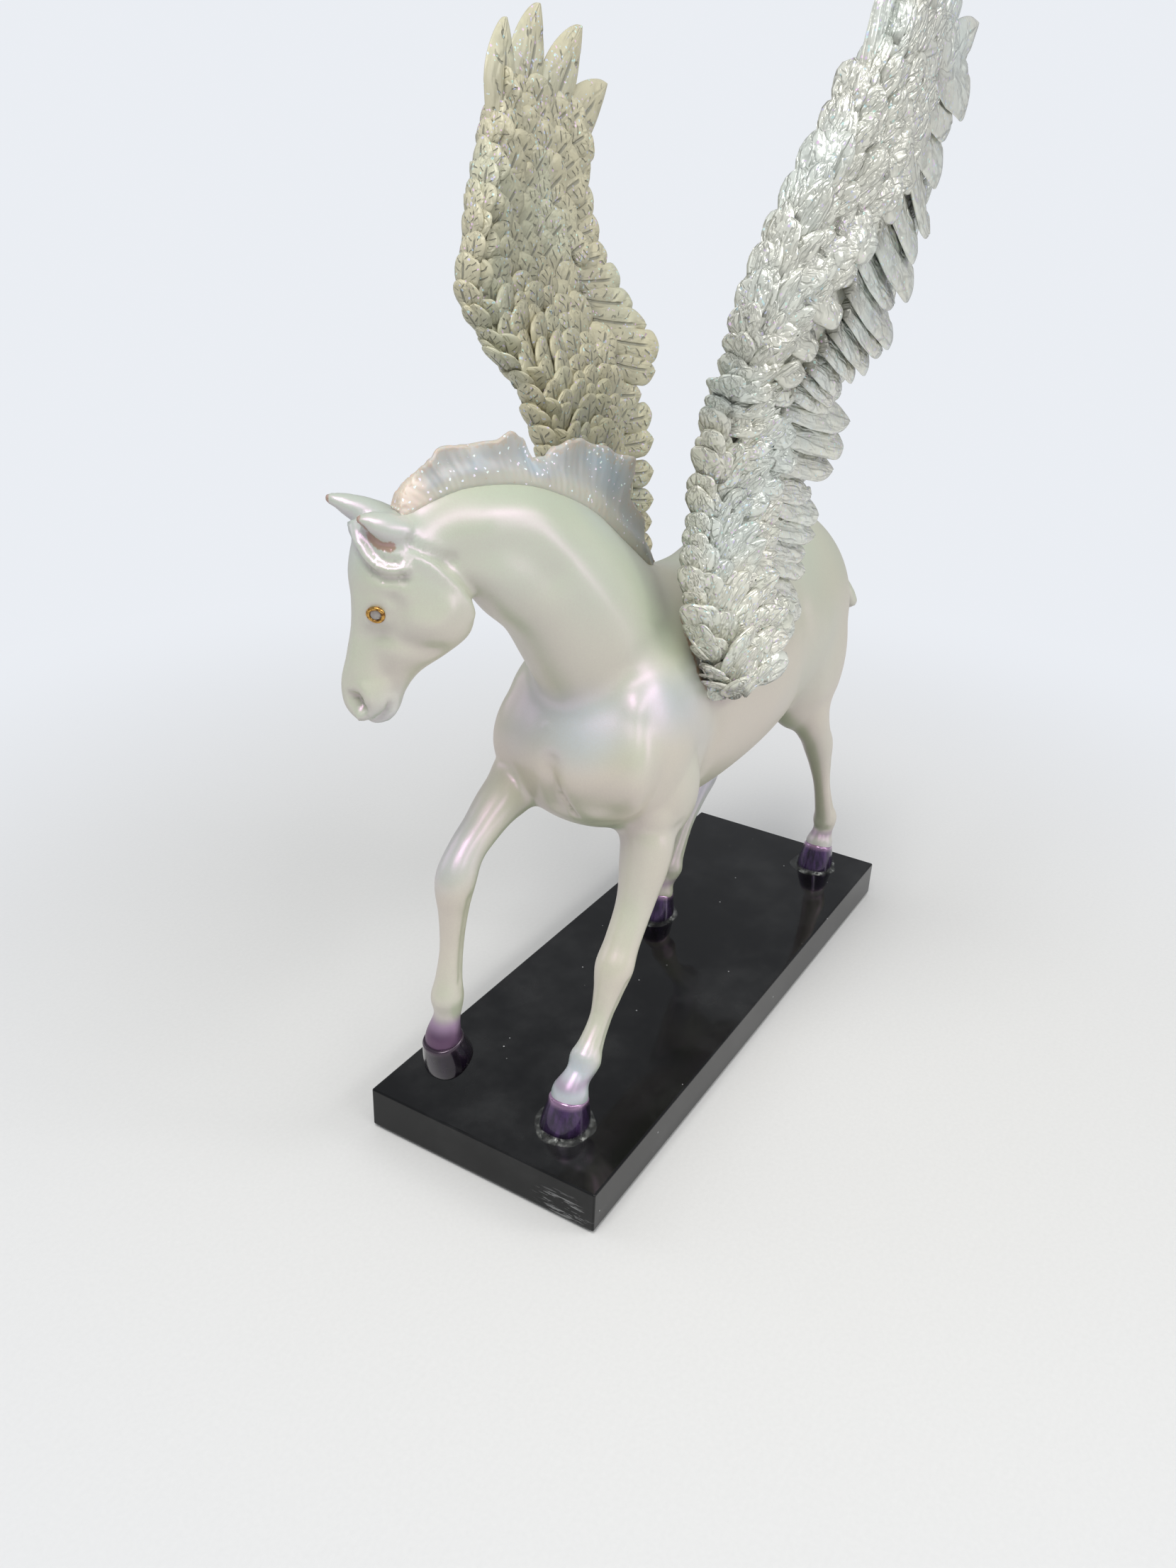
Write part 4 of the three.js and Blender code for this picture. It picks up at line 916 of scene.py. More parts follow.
# Forward of the poll, above it and out from the middle
eye_place = (8.1, -16.4, 6.3)
# The ring's mean radius, wire radius, height over the skin and unevenness, and its height as a
# share of its width
ring_mean, ring_wire, ring_height, ring_bend, eye_sag = 1.55, 0.42, 0.12, 0.03, 0.9
# How much of the skin round it an eye is set square to
eye_reach = 2.6
ring_corners, wire_corners = 48, 12
stone_radius, stone_corners = 1.35, 8
# The stone's cut: share of its radius, height over the skin
stone_cut = [(0.5, -0.5), (1.0, 0.0), (0.98, 0.12), (0.72, 0.5), (0.42, 0.62)]
gilt_bright, gilt_worn = (0.62, 0.36, 0.1, 1), (0.22, 0.1, 0.03, 1)
stone_clear, stone_cloudy = (0.85, 0.82, 0.8, 1), (0.55, 0.5, 0.48, 1)

gilt, tree, shader, place = new_material("Gilt ring", Metallic=1.0, Roughness=0.28)
worn = between(tree, noise(tree, place, 1100, 3, 0.7), 0.4, 0.65)
dull = sums(tree, "MULTIPLY_ADD", worn, 0.3, 0.2)
feed(tree, shader, Base_Color=blend(tree, worn, gilt_bright, gilt_worn), Roughness=dull)
crystal, tree, shader, place = new_material(
    "Clear stone", Roughness=0.03, Transmission_Weight=0.85, IOR=1.62, Coat_Weight=1.0,
)
cloud = noise(tree, place, 700, 2)
dull = sums(tree, "MULTIPLY_ADD", cloud, 0.06, 0.01)
feed(tree, shader, Base_Color=blend(tree, cloud, stone_clear, stone_cloudy), Roughness=dull)


def hoop(rings):
    """A closed band through rings that run round in a circle, back to the first."""
    count, size = len(rings), len(rings[0])
    k = np.arange(size)
    n = (k + 1) % size
    faces = []
    for r in range(count):
        a, b = r * size, (r + 1) % count * size
        faces += list(zip(a + k, b + k, b + n, a + n))
    return np.vstack(rings) + (0, 0, ground), faces


out = outwards()
for left, name in ((1, "left_eye"), (-1, "right_eye")):
    aim = head_point(eye_place[0], eye_place[1], eye_place[2] * left)
    gap = np.linalg.norm(skin - aim, axis=1)
    facing = unit(out[gap < eye_reach].mean(0))
    centre = skin[np.argsort(gap)[:12]].mean(0) + facing * 0.1
    level = unit(np.cross(facing, (0, 0, 1)))
    upright = np.cross(level, facing)

    def eye_ring(radius, height, corners, bend=0.0):
        a = np.linspace(0, 2 * np.pi, corners, endpoint=False)
        radius = radius * (1 + bend * np.sin(3 * a + left))
        flat = level * (radius * np.cos(a))[:, None] + upright * (radius * eye_sag * np.sin(a))[:, None]
        return centre + flat + facing * height

    rings = []
    for a in np.linspace(2 * np.pi, 0, wire_corners, endpoint=False):
        radius, height = ring_mean + ring_wire * math.cos(a), ring_height + ring_wire * math.sin(a)
        rings.append(eye_ring(radius, height, ring_corners, ring_bend))
    verts, faces = hoop(rings)
    rim = object_of(name + "_ring", verts * MM, faces)
    smooth_faces(rim)
    rim.data.materials.append(gilt)
    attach(rim, "root")
    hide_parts(name + "_setting")
    rings = np.array([eye_ring(stone_radius * share, h, stone_corners) for share, h in stone_cut])
    verts, faces = loft(rings + (0, 0, ground))
    stone = object_of(name + "_cut_stone", verts * MM, faces)
    stone.data.materials.append(crystal)
    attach(stone, "root")
    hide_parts(name + "_stone")

# The glue: clear cement squeezed out round each hoof that stands on the base. It dries in a thin
# uneven collar, glassy against the hoof and clouded towards its edge.

# The collar's section, from under the hoof outwards: share of its width, height
collar_profile = [
    (-0.35, 0.06), (-0.3, 0.9), (0.0, 0.85), (0.25, 0.42), (0.6, 0.2), (0.9, 0.13), (1.0, 0.04),
]
# How far it spills out: mean, least and most, and how much it wanders
spill_mean, spill_least, spill_most, spill_wander = 1.9, 0.9, 3.2, 0.55
collar_corners = 96
cement_dark, cement_cloudy = (0.16, 0.17, 0.16, 1), (0.62, 0.64, 0.6, 1)

glue, tree, shader, place = new_material(
    "Clear cement", Roughness=0.15, Coat_Weight=1.0, Coat_Roughness=0.05,
)
cloud = between(tree, noise(tree, place, 420, 5, 0.75), 0.42, 0.68)
streak = between(tree, noise(tree, place, 160, 3), 0.4, 0.6)
edge = between(tree, kept(tree, "thin"), 1.0, 0.75)
veil = sums(tree, "MULTIPLY", sums(tree, "MULTIPLY", cloud, streak), edge)
feed(
    tree, shader, Base_Color=blend(tree, cloud, cement_dark, cement_cloudy),
    Alpha=sums(tree, "MULTIPLY_ADD", veil, 0.6, 0.08),
    Roughness=sums(tree, "MULTIPLY_ADD", cloud, 0.4, 0.08),
)
dice = np.random.default_rng(11)
a = np.linspace(0, 2 * np.pi, collar_corners, endpoint=False)
for leg in ("left_fore", "left_hind", "right_hind"):
    (x, y, _), half_length, half_width, _ = hoof_places[leg + "_hoof"]
    spill = spill_mean
    for n in range(1, 9):
        spill = spill + dice.normal(0, spill_wander / n) * np.sin(n * a + dice.uniform(0, 6.28))
    spill = np.clip(spill, spill_least, spill_most)
    rings = []
    for share, height in collar_profile:
        reach = np.where(share > 0, spill, 1.0) * share
        forward, out = np.cos(a) * (half_length + reach), np.sin(a) * (half_width + reach)
        rings.append(np.stack([x + forward, y + out, 0 * a + height], 1))
    verts, faces = hoop(rings)
    collar = object_of(leg + "_cement", verts * MM, faces)
    smooth_faces(collar)
    shares = [max(share, 0) for share, _ in collar_profile]
    keep(collar.data, "thin", np.repeat(shares, collar_corners))
    collar.data.materials.append(glue)
    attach(collar, "root")
    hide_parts(leg + "_glue_bead")

# The wings: two resin castings made apart, each glued to its shoulder. A curved core carries
# rows of small overlapping feathers on both faces, long flight feathers stand out behind it and
# four pointed ones close its top. They are silvered and glittered; painted shade darkens recesses.

# Core: height, forward place of the front edge and of the feather tips, distance from the middle,
# how much farther out the rear lies, share of the full thickness
wing_rows = [
    [98, 17, 4, 23.5, 0, 0.4], [102, 25, -8, 23, 0.3, 0.75], [109, 31.5, -16, 22.3, 0.6, 0.9],
    [118, 36.5, -20, 21, 1.5, 1], [129, 39.5, -22.5, 20, 2.2, 1], [142, 39, -21.5, 19.5, 4, 1],
    [156, 40, -24, 20.2, 6, 1], [170, 44.2, -25.5, 23, 4.6, 0.95], [182, 51.6, -25, 28.3, 6, 0.85],
    [192, 55.5, -21, 31.3, 8, 0.78], [203, 51, -17, 32.3, 11, 0.7],
    [213, 44.6, -17, 34.4, 10.4, 0.65], [223, 37.8, -20.5, 38, 6.5, 0.6],
    [233, 29.5, -22, 41.5, 4, 0.5],
]
# Flight feathers: forward and height of the tip, angle back from upright, length, width
flight_rows = [
    [-17, 113, 112, 26, 6.6], [-16.5, 118.5, 106, 34, 6.6], [-20, 123.5, 107, 36, 6.8],
    [-18.5, 129, 105, 34, 6.8], [-17.8, 135, 103, 40, 6.4], [-18.4, 140.6, 103, 42, 6.6],
    [-12, 145.5, 102, 34, 6.2], [-23.8, 150.4, 101, 46, 7.2], [-21.6, 156.4, 101, 44, 7],
    [-20.2, 163.4, 100, 46, 7.2], [-9, 168, 102, 36, 6.6], [-7, 171, 103, 33, 6.6],
    [-5.4, 174, 103, 31, 7], [-8, 177, 104, 33, 7], [-13.1, 179.6, 104, 37, 8],
    [-15.5, 182.4, 105, 37, 7.4], [-19.7, 185, 105, 46, 8.4], [-11.4, 191, 107, 42, 7.6],
    [-12, 196.4, 106, 33, 9], [-8.2, 201.6, 110, 34, 7.2], [-14, 205.6, 113, 34, 7.4],
    [-11.8, 215.4, 99, 30, 8.6], [-11, 221.6, 95, 26, 8], [-18, 226.6, 91, 28, 8.6],
]
# The flights are cast broader than their rows, and no root stands above a height
flight_breadth, root_top = 1.14, 231
# Covers over their roots: height, then share of the wing's depth where their tips end
cover_edge = [
    [110, 0.5], [140, 0.46], [158, 0.43], [170, 0.34], [178, 0.3], [190, 0.36], [200, 0.4],
    [207, 0.58], [212, 0.64], [230, 0.62],
]
# Rows of covers: how far they stop short of that edge, length, width, lift of the tips
cover_ranks = [[0.0, 15, 8, 1.3], [0.15, 12, 7, 1.5]]
# Broad feathers behind the inner face: forward and height of the tip, angle, length, width
inner_rows = [
    [-18, 121, 112, 15, 6.4], [-18.5, 127, 108, 15, 6.4], [-18.5, 133.5, 104, 15, 6.6],
    [-19, 141, 100, 16, 7], [-20, 148.6, 98, 17, 7.4], [-20.5, 155.1, 97, 17, 7.4],
    [-16.5, 161.4, 100, 16, 7.4], [-23, 166.5, 104, 19, 8], [-26, 172, 103, 22, 9],
    [-23, 177.5, 101, 22, 8.8], [-23, 183, 98, 22, 8.8], [-21.6, 189, 94, 22, 8.8],
    [-18, 195, 90, 17, 8], [-17, 201.5, 86, 15, 7.6], [-16, 208.5, 80, 15, 8],
    [-15, 215.5, 72, 15, 8], [-15.5, 222, 66, 15, 8],
]
# Rosette at the foot: forward and height of the tip, length, width
foot_tips = [
    [-13, 114, 17, 8.5], [-12, 108.5, 17, 8.6], [-7, 104.8, 15, 8.6], [0.5, 102.8, 14, 8.2],
    [8.5, 102.2, 13, 8], [16, 102.8, 12, 7.6], [22.5, 105, 12, 7.2], [26.5, 109, 12, 7],
    [-4, 111, 12, 7.4], [1, 106, 11, 7.4], [8, 104.5, 11, 7.2], [15, 105, 10, 6.8],
    [20, 109, 10, 6.6], [5, 110, 8, 6.4], [11.5, 109, 8, 6.2], [-9, 119, 15, 8],
    [-3, 116, 13, 8], [2, 121, 13, 7.6],
]
foot_middle = (11.5, 116)
# Pointed feathers at the top: height, place over the core's depth, length, width, angle
end_feathers = [
    [219, 0.93, 32, 13.8, 58], [221, 0.72, 34.3, 15.4, 41], [223, 0.42, 30.4, 14.6, 30],
    [220, 0.17, 27, 13, 20],
]
# The left wing is drawn out above a height: rise, from, to, share of it that goes backwards
left_rise, rise_from, rise_to, rise_lean = 12, 188, 233, 0.45
# and its front edge is bent outwards: heights, distance
left_bend = [[150, 192, 213, 233], [0, 2.6, 4.6, 3.6]]
# The thick part's share of the depth, camber, half thickness, room for the feathers in front
flesh_share, camber, core_half, cover_thick = 0.66, 2.5, 4.2, 1.5
# The core's rings: lowest and highest, their number, the height at which it closes, corners
core_low, core_high, core_rings, core_top, core_corners = 101, 227, 90, 227.5, 34
# Small feathers: heights of the first and last rank, lowest root, height of a rank along the nose
rank_low, rank_high, root_low, nose_rank = 101, 232.5, 104, 4.5
# Small feathers of either face: side, height of a rank, distance along it, how unevenly they stand
# and how much they ruffle
flame_rank = (1, 3.6, 5.6, 0.5, 0.15)
scale_rank = (-1, 3.6, 8.2, 0.25, 0.09)
small_lift = 0.28
# How far the scales of the inner face run back: heights, share of the thick part
scale_reach = ([122, 140, 188, 196, 226, 230], [1.1, 1.05, 1.0, 1.2, 1.2, 0.9])
# Long feathers are tipped about their length so that each laps over the one below
lap = 0.26
# Nothing stands farther out from the middle than this
outermost = 49.2
silver_warm, silver_pale = (0.8, 0.81, 0.69, 1), (0.88, 0.86, 0.75, 1)
silver_top, silver_cool = (0.78, 0.78, 0.69, 1), (0.78, 0.83, 0.77, 1)
# The beige over the right wing and the grey in the recesses are colours of painted shade
wing_shade_beige, shade_grey = (0.8, 0.75, 0.6, 1), (0.2, 0.2, 0.165, 1)
dice = np.random.default_rng(7)


def wing_row(h):
    """Front edge, tips, distance out, flare and share of the thickness at some heights."""
    rows = np.array(wing_rows)
    h = np.clip(np.asarray(h, float), rows[0, 0], rows[-1, 0])
    i = np.clip(np.searchsorted(rows[:, 0], h, side="right") - 1, 0, len(rows) - 2)
    u = (h - rows[i, 0]) / (rows[i + 1, 0] - rows[i, 0])
    return along(rows[:, 1:], ((i + u) / (len(rows) - 1)).ravel()).T.reshape(5, *h.shape)


def wing_distance(x, h):
    """How far the middle of the wing's thickness lies from the horse's middle."""
    lead, tips, away, flare, _ = wing_row(h)
    back = np.clip((lead - x) / (lead - tips), 0, 1.4)
    return away + flare * back + np.maximum(camber * 4 * back * (1 - back), -camber)


def core_point(h, back, face):
    """On the wing's skin: back runs from 0 to 1 over the thick core and on over the thin vane.
    face is +1 outside and -1 inside."""
    lead, tips, _, _, share = wing_row(h)
    b = np.clip(back, 0, 1)
    x = lead - cover_thick * np.clip(1 - back / 0.3, 0, 1)
    x = x + (tips - lead) * flesh_share * np.clip(back, 0, 1.52)
    half = core_half * share * np.sqrt(b) * (1.6 - 1.45 * b) + 0.3
    half = half - (half - 0.5) * np.clip((back - 1) / 0.35, 0, 1)
    y = wing_distance(x, h) + half * face
    return np.stack([x, y, h + 0 * x], -1)


def core_frame(h, back, face, angle):
    """Place, outward normal and feather direction on the core at an angle back from upright."""
    step = 0.4
    p = core_point(h, back, face)
    rise = core_point(h + step, back, face) - core_point(h - step, back, face)
    lo = np.maximum(back - 0.02, 0.002)
    rear = core_point(h, back + 0.02, face) - core_point(h, lo, face)
    normal = unit(np.cross(rear, rise)) * np.where(face < 0, -1, 1)[..., None]
    nose = np.clip(1 - back / 0.14, 0, 1)[..., None]
    ahead = np.cross((0, 1, 0), unit(rise))
    normal = unit(normal * (1 - nose) + unit(ahead) * nose * 1.1)
    way = np.stack([-np.sin(angle), 0 * angle, np.cos(angle)], -1)
    way = unit(way - normal * (way * normal).sum(-1, keepdims=True))
    return p, normal, way


def feather(name, across, lengthwise, tip, dome, thick, creases=0, both=False, fullness=2.4, bow=0.0):
    """A feather one long and one wide, root at the origin, tip along Y, face along Z."""
    u = np.linspace(-1, 1, across)
    u = np.sign(u) * np.abs(u) ** 0.8
    v = 1 - (1 - np.linspace(0, 1, lengthwise)) ** 1.5
    v[0] = 0
    swell = np.minimum(0.62 + 0.9 * v, 1)
    close = np.clip((v - (1 - tip)) / tip, 0, 1)
    half = 0.5 * swell * (1 - close ** fullness) ** (1.2 / fullness) + 0.035 * close
    x = half[:, None] * u[None] + bow * v[:, None] ** 2
    y = np.repeat(v[:, None], across, 1)
    lift = dome * (1 - np.abs(u[None]) ** 2.6) * (1 - 0.55 * close[:, None] ** 3)
    shaft = np.exp(-(u[None] / 0.11) ** 2) * (v[:, None] < 0.82) * (v[:, None] > 0.08)
    cut = dome * 0.3 * shaft
    for _ in range(creases):
        side, foot = dice.choice([-1, 1]), dice.uniform(0.1, 0.85)
        slope, depth = dice.uniform(0.1, 0.4), dice.uniform(0.15, 0.5)
        line = np.exp(-((y - foot - slope * np.abs(u[None])) / 0.035) ** 2)
        reach = np.abs(u[None]) < dice.uniform(0.6, 0.95)
        cut = cut + dome * depth * line * (side * u[None] > 0.05) * reach
    top = np.stack([x, y, lift - cut], -1)
    under = -lift + cut if both else 0 * lift
    low = np.stack([x, y, under - thick], -1)
    size = across * lengthwise
    verts = np.vstack([top.reshape(-1, 3), low.reshape(-1, 3)])
    faces = []
    for j in range(lengthwise - 1):
        for i in range(across - 1):
            a = j * across + i
            faces.append((a, a + 1, a + 1 + across, a + across))
    rim = [*range(across)] + [j * across + across - 1 for j in range(1, lengthwise)]
    rim += [size - 2 - i for i in range(across - 1)]
    rim += [(lengthwise - 2 - j) * across for j in range(lengthwise - 2)]
    if both:
        faces += [tuple(i + size for i in f[::-1]) for f in faces]
    else:
        for j in range(lengthwise - 1):
            a, b = j * across + size, (j + 1) * across + size
            first, last = range(a, a + across), range(b, b + across)
            if j == 0:
                faces.append((*first[::-1], b, b + across - 1)[: across] + (b, b + across - 1))
            elif j == lengthwise - 2:
                faces.append((a + across - 1, a, *last))
            else:
                faces.append((a + across - 1, a, b, b + across - 1))
    for a, b in zip(rim, rim[1:] + rim[:1]):
        faces.append((b, a, a + size, b + size))
    used = sorted({i for f in faces for i in f})
    number = {old: new for new, old in enumerate(used)}
    made = object_of(name, verts[used], [tuple(number[i] for i in f) for f in faces])
    smooth_faces(made)
    flat = np.stack([0.5 + 0.5 * np.tile(u, lengthwise), np.repeat(v, across)], 1)
    chart_on(made, np.vstack([flat, flat])[used])
    return made


def feather_points(name, places, normals, ways, sizes, lift):
    """Points that carry how each feather lies: lift tips its free end off the core."""
    lift = np.broadcast_to(lift, len(places))[:, None]
    lie = normals * np.cos(lift) - ways * np.sin(lift)
    along_it = ways * np.cos(lift) + normals * np.sin(lift)
    made = object_of(name, (places + (0, 0, ground)) * MM, [])
    for key, value in (("lie", lie), ("way", along_it), ("size", sizes * MM)):
        layer = made.data.attributes.new(key, "FLOAT_VECTOR", "POINT")
        layer.data.foreach_set("vector", np.ascontiguousarray(value, float).ravel())
    return made


def feathering():
    """Sets one of three feathers on every point, each a little off its neighbours."""
    tree, given = new_group(
        "Feathering", "GeometryNodeTree",
        {"Geometry": "Geometry", "Round feather": "Object", "Full feather": "Object",
         "Narrow feather": "Object", "Ruffle": "Float", "Size spread": "Float", "Seed": "Int",
         "Finish": "Material"},
        {"Geometry": "Geometry"},
    )

    def carried(key):
        node = wire(tree, "GeometryNodeInputNamedAttribute", {"Name": key}, data_type="FLOAT_VECTOR")
        return node.outputs["Attribute"]

    def chance(kind, number, links=None):
        """A random value for each feather, from a seed of its own."""
        node = wire(tree, "FunctionNodeRandomValue", links, data_type=kind)
        tree.links.new(sums(tree, "ADD", given["Seed"], number), node.inputs["Seed"])
        return node.outputs

    kinds = wire(tree, "GeometryNodeJoinGeometry").inputs[0]
    for key in ("Narrow feather", "Full feather", "Round feather"):
        info = wire(tree, "GeometryNodeObjectInfo", {"Object": given[key], "As Instance": True})
        tree.links.new(info.outputs["Geometry"], kinds)
    pick = chance("INT", 0.0, {4: 0, 5: 2})[2]
    links = {0: carried("lie"), 1: carried("way")}
    lie = wire(tree, "FunctionNodeAxesToRotation", links, primary_axis="Z", secondary_axis="Y")
    less, more = sums(tree, "MULTIPLY", given["Ruffle"], -1.0), given["Ruffle"]
    least = wire(tree, "ShaderNodeCombineXYZ", {0: less, 1: less, 2: less}).outputs[0]
    most = wire(tree, "ShaderNodeCombineXYZ", {0: more, 1: more, 2: more}).outputs[0]
    turn = chance("FLOAT_VECTOR", 1.0, {0: least, 1: most})[0]
    bent = wire(tree, "FunctionNodeEulerToRotation", {0: turn}).outputs[0]
    links = {0: lie.outputs[0], 1: bent}
    lain = wire(tree, "FunctionNodeRotateRotation", links, rotation_space="LOCAL")
    small = sums(tree, "SUBTRACT", 1.0, given["Size spread"])
    large = sums(tree, "ADD", 1.0, given["Size spread"])
    grow = chance("FLOAT", 2.0, {2: small, 3: large})[1]
    links = {0: carried("size"), "Scale": grow}
    sized = wire(tree, "ShaderNodeVectorMath", links, operation="SCALE")
    links = {
        "Points": given["Geometry"], "Instance": kinds.node.outputs[0], "Pick Instance": True,
        "Instance Index": pick, "Rotation": lain.outputs[0], "Scale": sized.outputs[0],
    }
    put = wire(tree, "GeometryNodeInstanceOnPoints", links)
    links = {"Geometry": put.outputs[0], "Name": "tone", "Value": chance("FLOAT", 3.0)[1]}
    toned = wire(tree, "GeometryNodeStoreNamedAttribute", links, data_type="FLOAT", domain="INSTANCE")
    real = wire(tree, "GeometryNodeRealizeInstances", {"Geometry": toned.outputs[0]})
    links = {"Geometry": real.outputs[0], "Material": given["Finish"]}
    wire(tree, "NodeGroupOutput", {"Geometry": wire(tree, "GeometryNodeSetMaterial", links).outputs[0]})
    return tree


def grown(points, **inputs):
    """The feathers on some points, as a plain mesh."""
    modifier = points.modifiers.new("Feathering", "NODES")
    modifier.node_group = feathering_tree
    for item in feathering_tree.interface.items_tree:
        if item.in_out == "INPUT" and item.name.replace(" ", "_") in inputs:
            modifier[item.identifier] = inputs[item.name.replace(" ", "_")]
    return baked(points)


def three(kind, size, tips, domes, creases, both, bow, thick):
    """A round, a full and a narrow feather of one kind."""
    made = []
    for shape, fullness, tip, dome in zip(("round", "full", "narrow"), (2.6, 2.2, 1.7), tips, domes):
        name = f"{kind}_{shape}"
        made.append(feather(name, *size, tip, dome, thick, creases, both, fullness, bow))
    return made


flame = three("flame_feather", (7, 8), (0.45, 0.5, 0.6), (0.2, 0.24, 0.22), 2, False, 0.08, 0.1)
scale = three("scale_feather", (7, 7), (0.42, 0.5, 0.5), (0.15, 0.19, 0.16), 0, False, 0.0, 0.1)
flight = three("flight_feather", (13, 30), (0.22, 0.26, 0.32), (0.15, 0.17, 0.14), 8, True, 0.2, 0.02)
cover = three("cover_feather", (11, 14), (0.36, 0.4, 0.5), (0.2, 0.22, 0.2), 5, False, 0.12, 0.1)
pointed = [feather("pointed_feather", 13, 30, 0.5, 0.11, 0.02, 5, True, 1.5)] * 3


def of_kind(kind):
    return dict(Round_feather=kind[0], Full_feather=kind[1], Narrow_feather=kind[2], Finish=silver)


silver, tree, shader, place = new_material(
    "Feather silver", Coat_Roughness=0.2, Specular_Tint=(0.95, 0.95, 1.0, 1),
)
chart = wire(tree, "ShaderNodeSeparateXYZ", {0: place.node.outputs["UV"]})
across, onward = chart.outputs[0], chart.outputs[1]
spot = wire(tree, "ShaderNodeSeparateXYZ", {0: place}).outputs
tone = kept(tree, "tone")
# The right wing is given painted shade, darker and more beige than the left: the mask is 1 on
# the horse's right and 0 on its left
shaded_wing = between(tree, spot[1], 0.005, -0.005)


def by_wing(left, right):
    return between(tree, shaded_wing, 0, 1, left, right)


# Slits that run out from the shaft to both edges, at a slant
off = sums(tree, "ABSOLUTE", sums(tree, "MULTIPLY_ADD", across, 2.0, -1.0))
half = sums(tree, "GREATER_THAN", across, 0.5)
stray = sums(tree, "MULTIPLY_ADD", noise(tree, place, 330, 2), 0.9, sums(tree, "MULTIPLY", half, 0.37))
phase = sums(tree, "MULTIPLY_ADD", sums(tree, "MULTIPLY_ADD", off, -0.25, onward), 4.4, stray)
phase = sums(tree, "FRACT", sums(tree, "ADD", phase, tone))
slit = between(tree, sums(tree, "ABSOLUTE", sums(tree, "SUBTRACT", phase, 0.5)), 0.11, 0.03)
for value, outside, inside in (
    (off, 0.2, 0.32), (off, 0.78, 0.62), (onward, 0.93, 0.85), (noise(tree, place, 240, 2), 0.4, 0.5),
):
    slit = sums(tree, "MULTIPLY", slit, between(tree, value, outside, inside))
shaft = sums(tree, "MULTIPLY", between(tree, off, 0.12, 0.03), between(tree, onward, 0.8, 0.66))
cut = sums(tree, "MULTIPLY", sums(tree, "MAXIMUM", slit, shaft), by_wing(0.35, 1))
# Barbs: a grain of its own on every feather
lay = wire(tree, "ShaderNodeCombineXYZ", {
    0: sums(tree, "MULTIPLY", across, 1.5), 1: onward, 2: sums(tree, "MULTIPLY", tone, 40.0),
}).outputs[0]
barbs = sums(tree, "ABSOLUTE", sums(tree, "SUBTRACT", noise(tree, lay, 2.2, 2, 0.45, 0.2), 0.5))
barbs = between(tree, barbs, 0.0, 0.11)
# Painted shade in the recesses: under the feather in front, in the slits and between the
# barbs, with a little grime at random
under = sums(tree, "MULTIPLY", between(tree, onward, 0.75, 0.4), by_wing(0.2, 0.45))
root_shade = sums(tree, "MAXIMUM", between(tree, onward, 0.3, 0.02), under)
grime = between(tree, noise(tree, place, 260, 4, 0.7), 0.35, 0.7)
shade_and_grime = sums(tree, "MULTIPLY", between(tree, barbs, 0.3, 0.0), by_wing(0.3, 0.12))
for mask, share in ((cut, 0.75), (root_shade, 0.7), (grime, 0.16)):
    shade_and_grime = sums(tree, "MAXIMUM", shade_and_grime, sums(tree, "MULTIPLY", mask, share))
body = blend(tree, tone, silver_warm, silver_pale)
body = blend(tree, between(tree, spot[2], 0.17, 0.21), body, silver_top)
body = blend(tree, between(tree, noise(tree, place, 45, 2), 0.45, 0.7), body, silver_cool)
# Painted shade: the right wing is darkened and warmed
body = blend(tree, shaded_wing, body, wing_shade_beige, "MULTIPLY")
body = blend(tree, shade_and_grime, body, shade_grey)
thick = between(tree, noise(tree, place, 60, 2), 0.35, 0.7, 0.0, 0.06)
glitter = flaked(tree, place, 2300.0, thick, 0.99, 0.35)
body = blend(tree, sums(tree, "MULTIPLY", glitter["Glint"], 0.75), body, glitter["Tint"])
dull = sums(tree, "MULTIPLY_ADD", glitter["Glint"], -0.15, by_wing(0.18, 0.42))
feed(
    tree, shader, Base_Color=body, Roughness=dull, Metallic=by_wing(0.28, 0.05),
    Coat_Weight=by_wing(0.5, 0.1),
)
crumple = noise(tree, place, 260, 2, 0.5, 1.0)
relief = sums(tree, "ADD", barbs, sums(tree, "MULTIPLY", crumple, 0.9))
relief = sums(tree, "SUBTRACT", sums(tree, "MULTIPLY", relief, by_wing(1.0, 0.35)), cut)
dented(tree, shader, relief, 1.0, 0.00036)

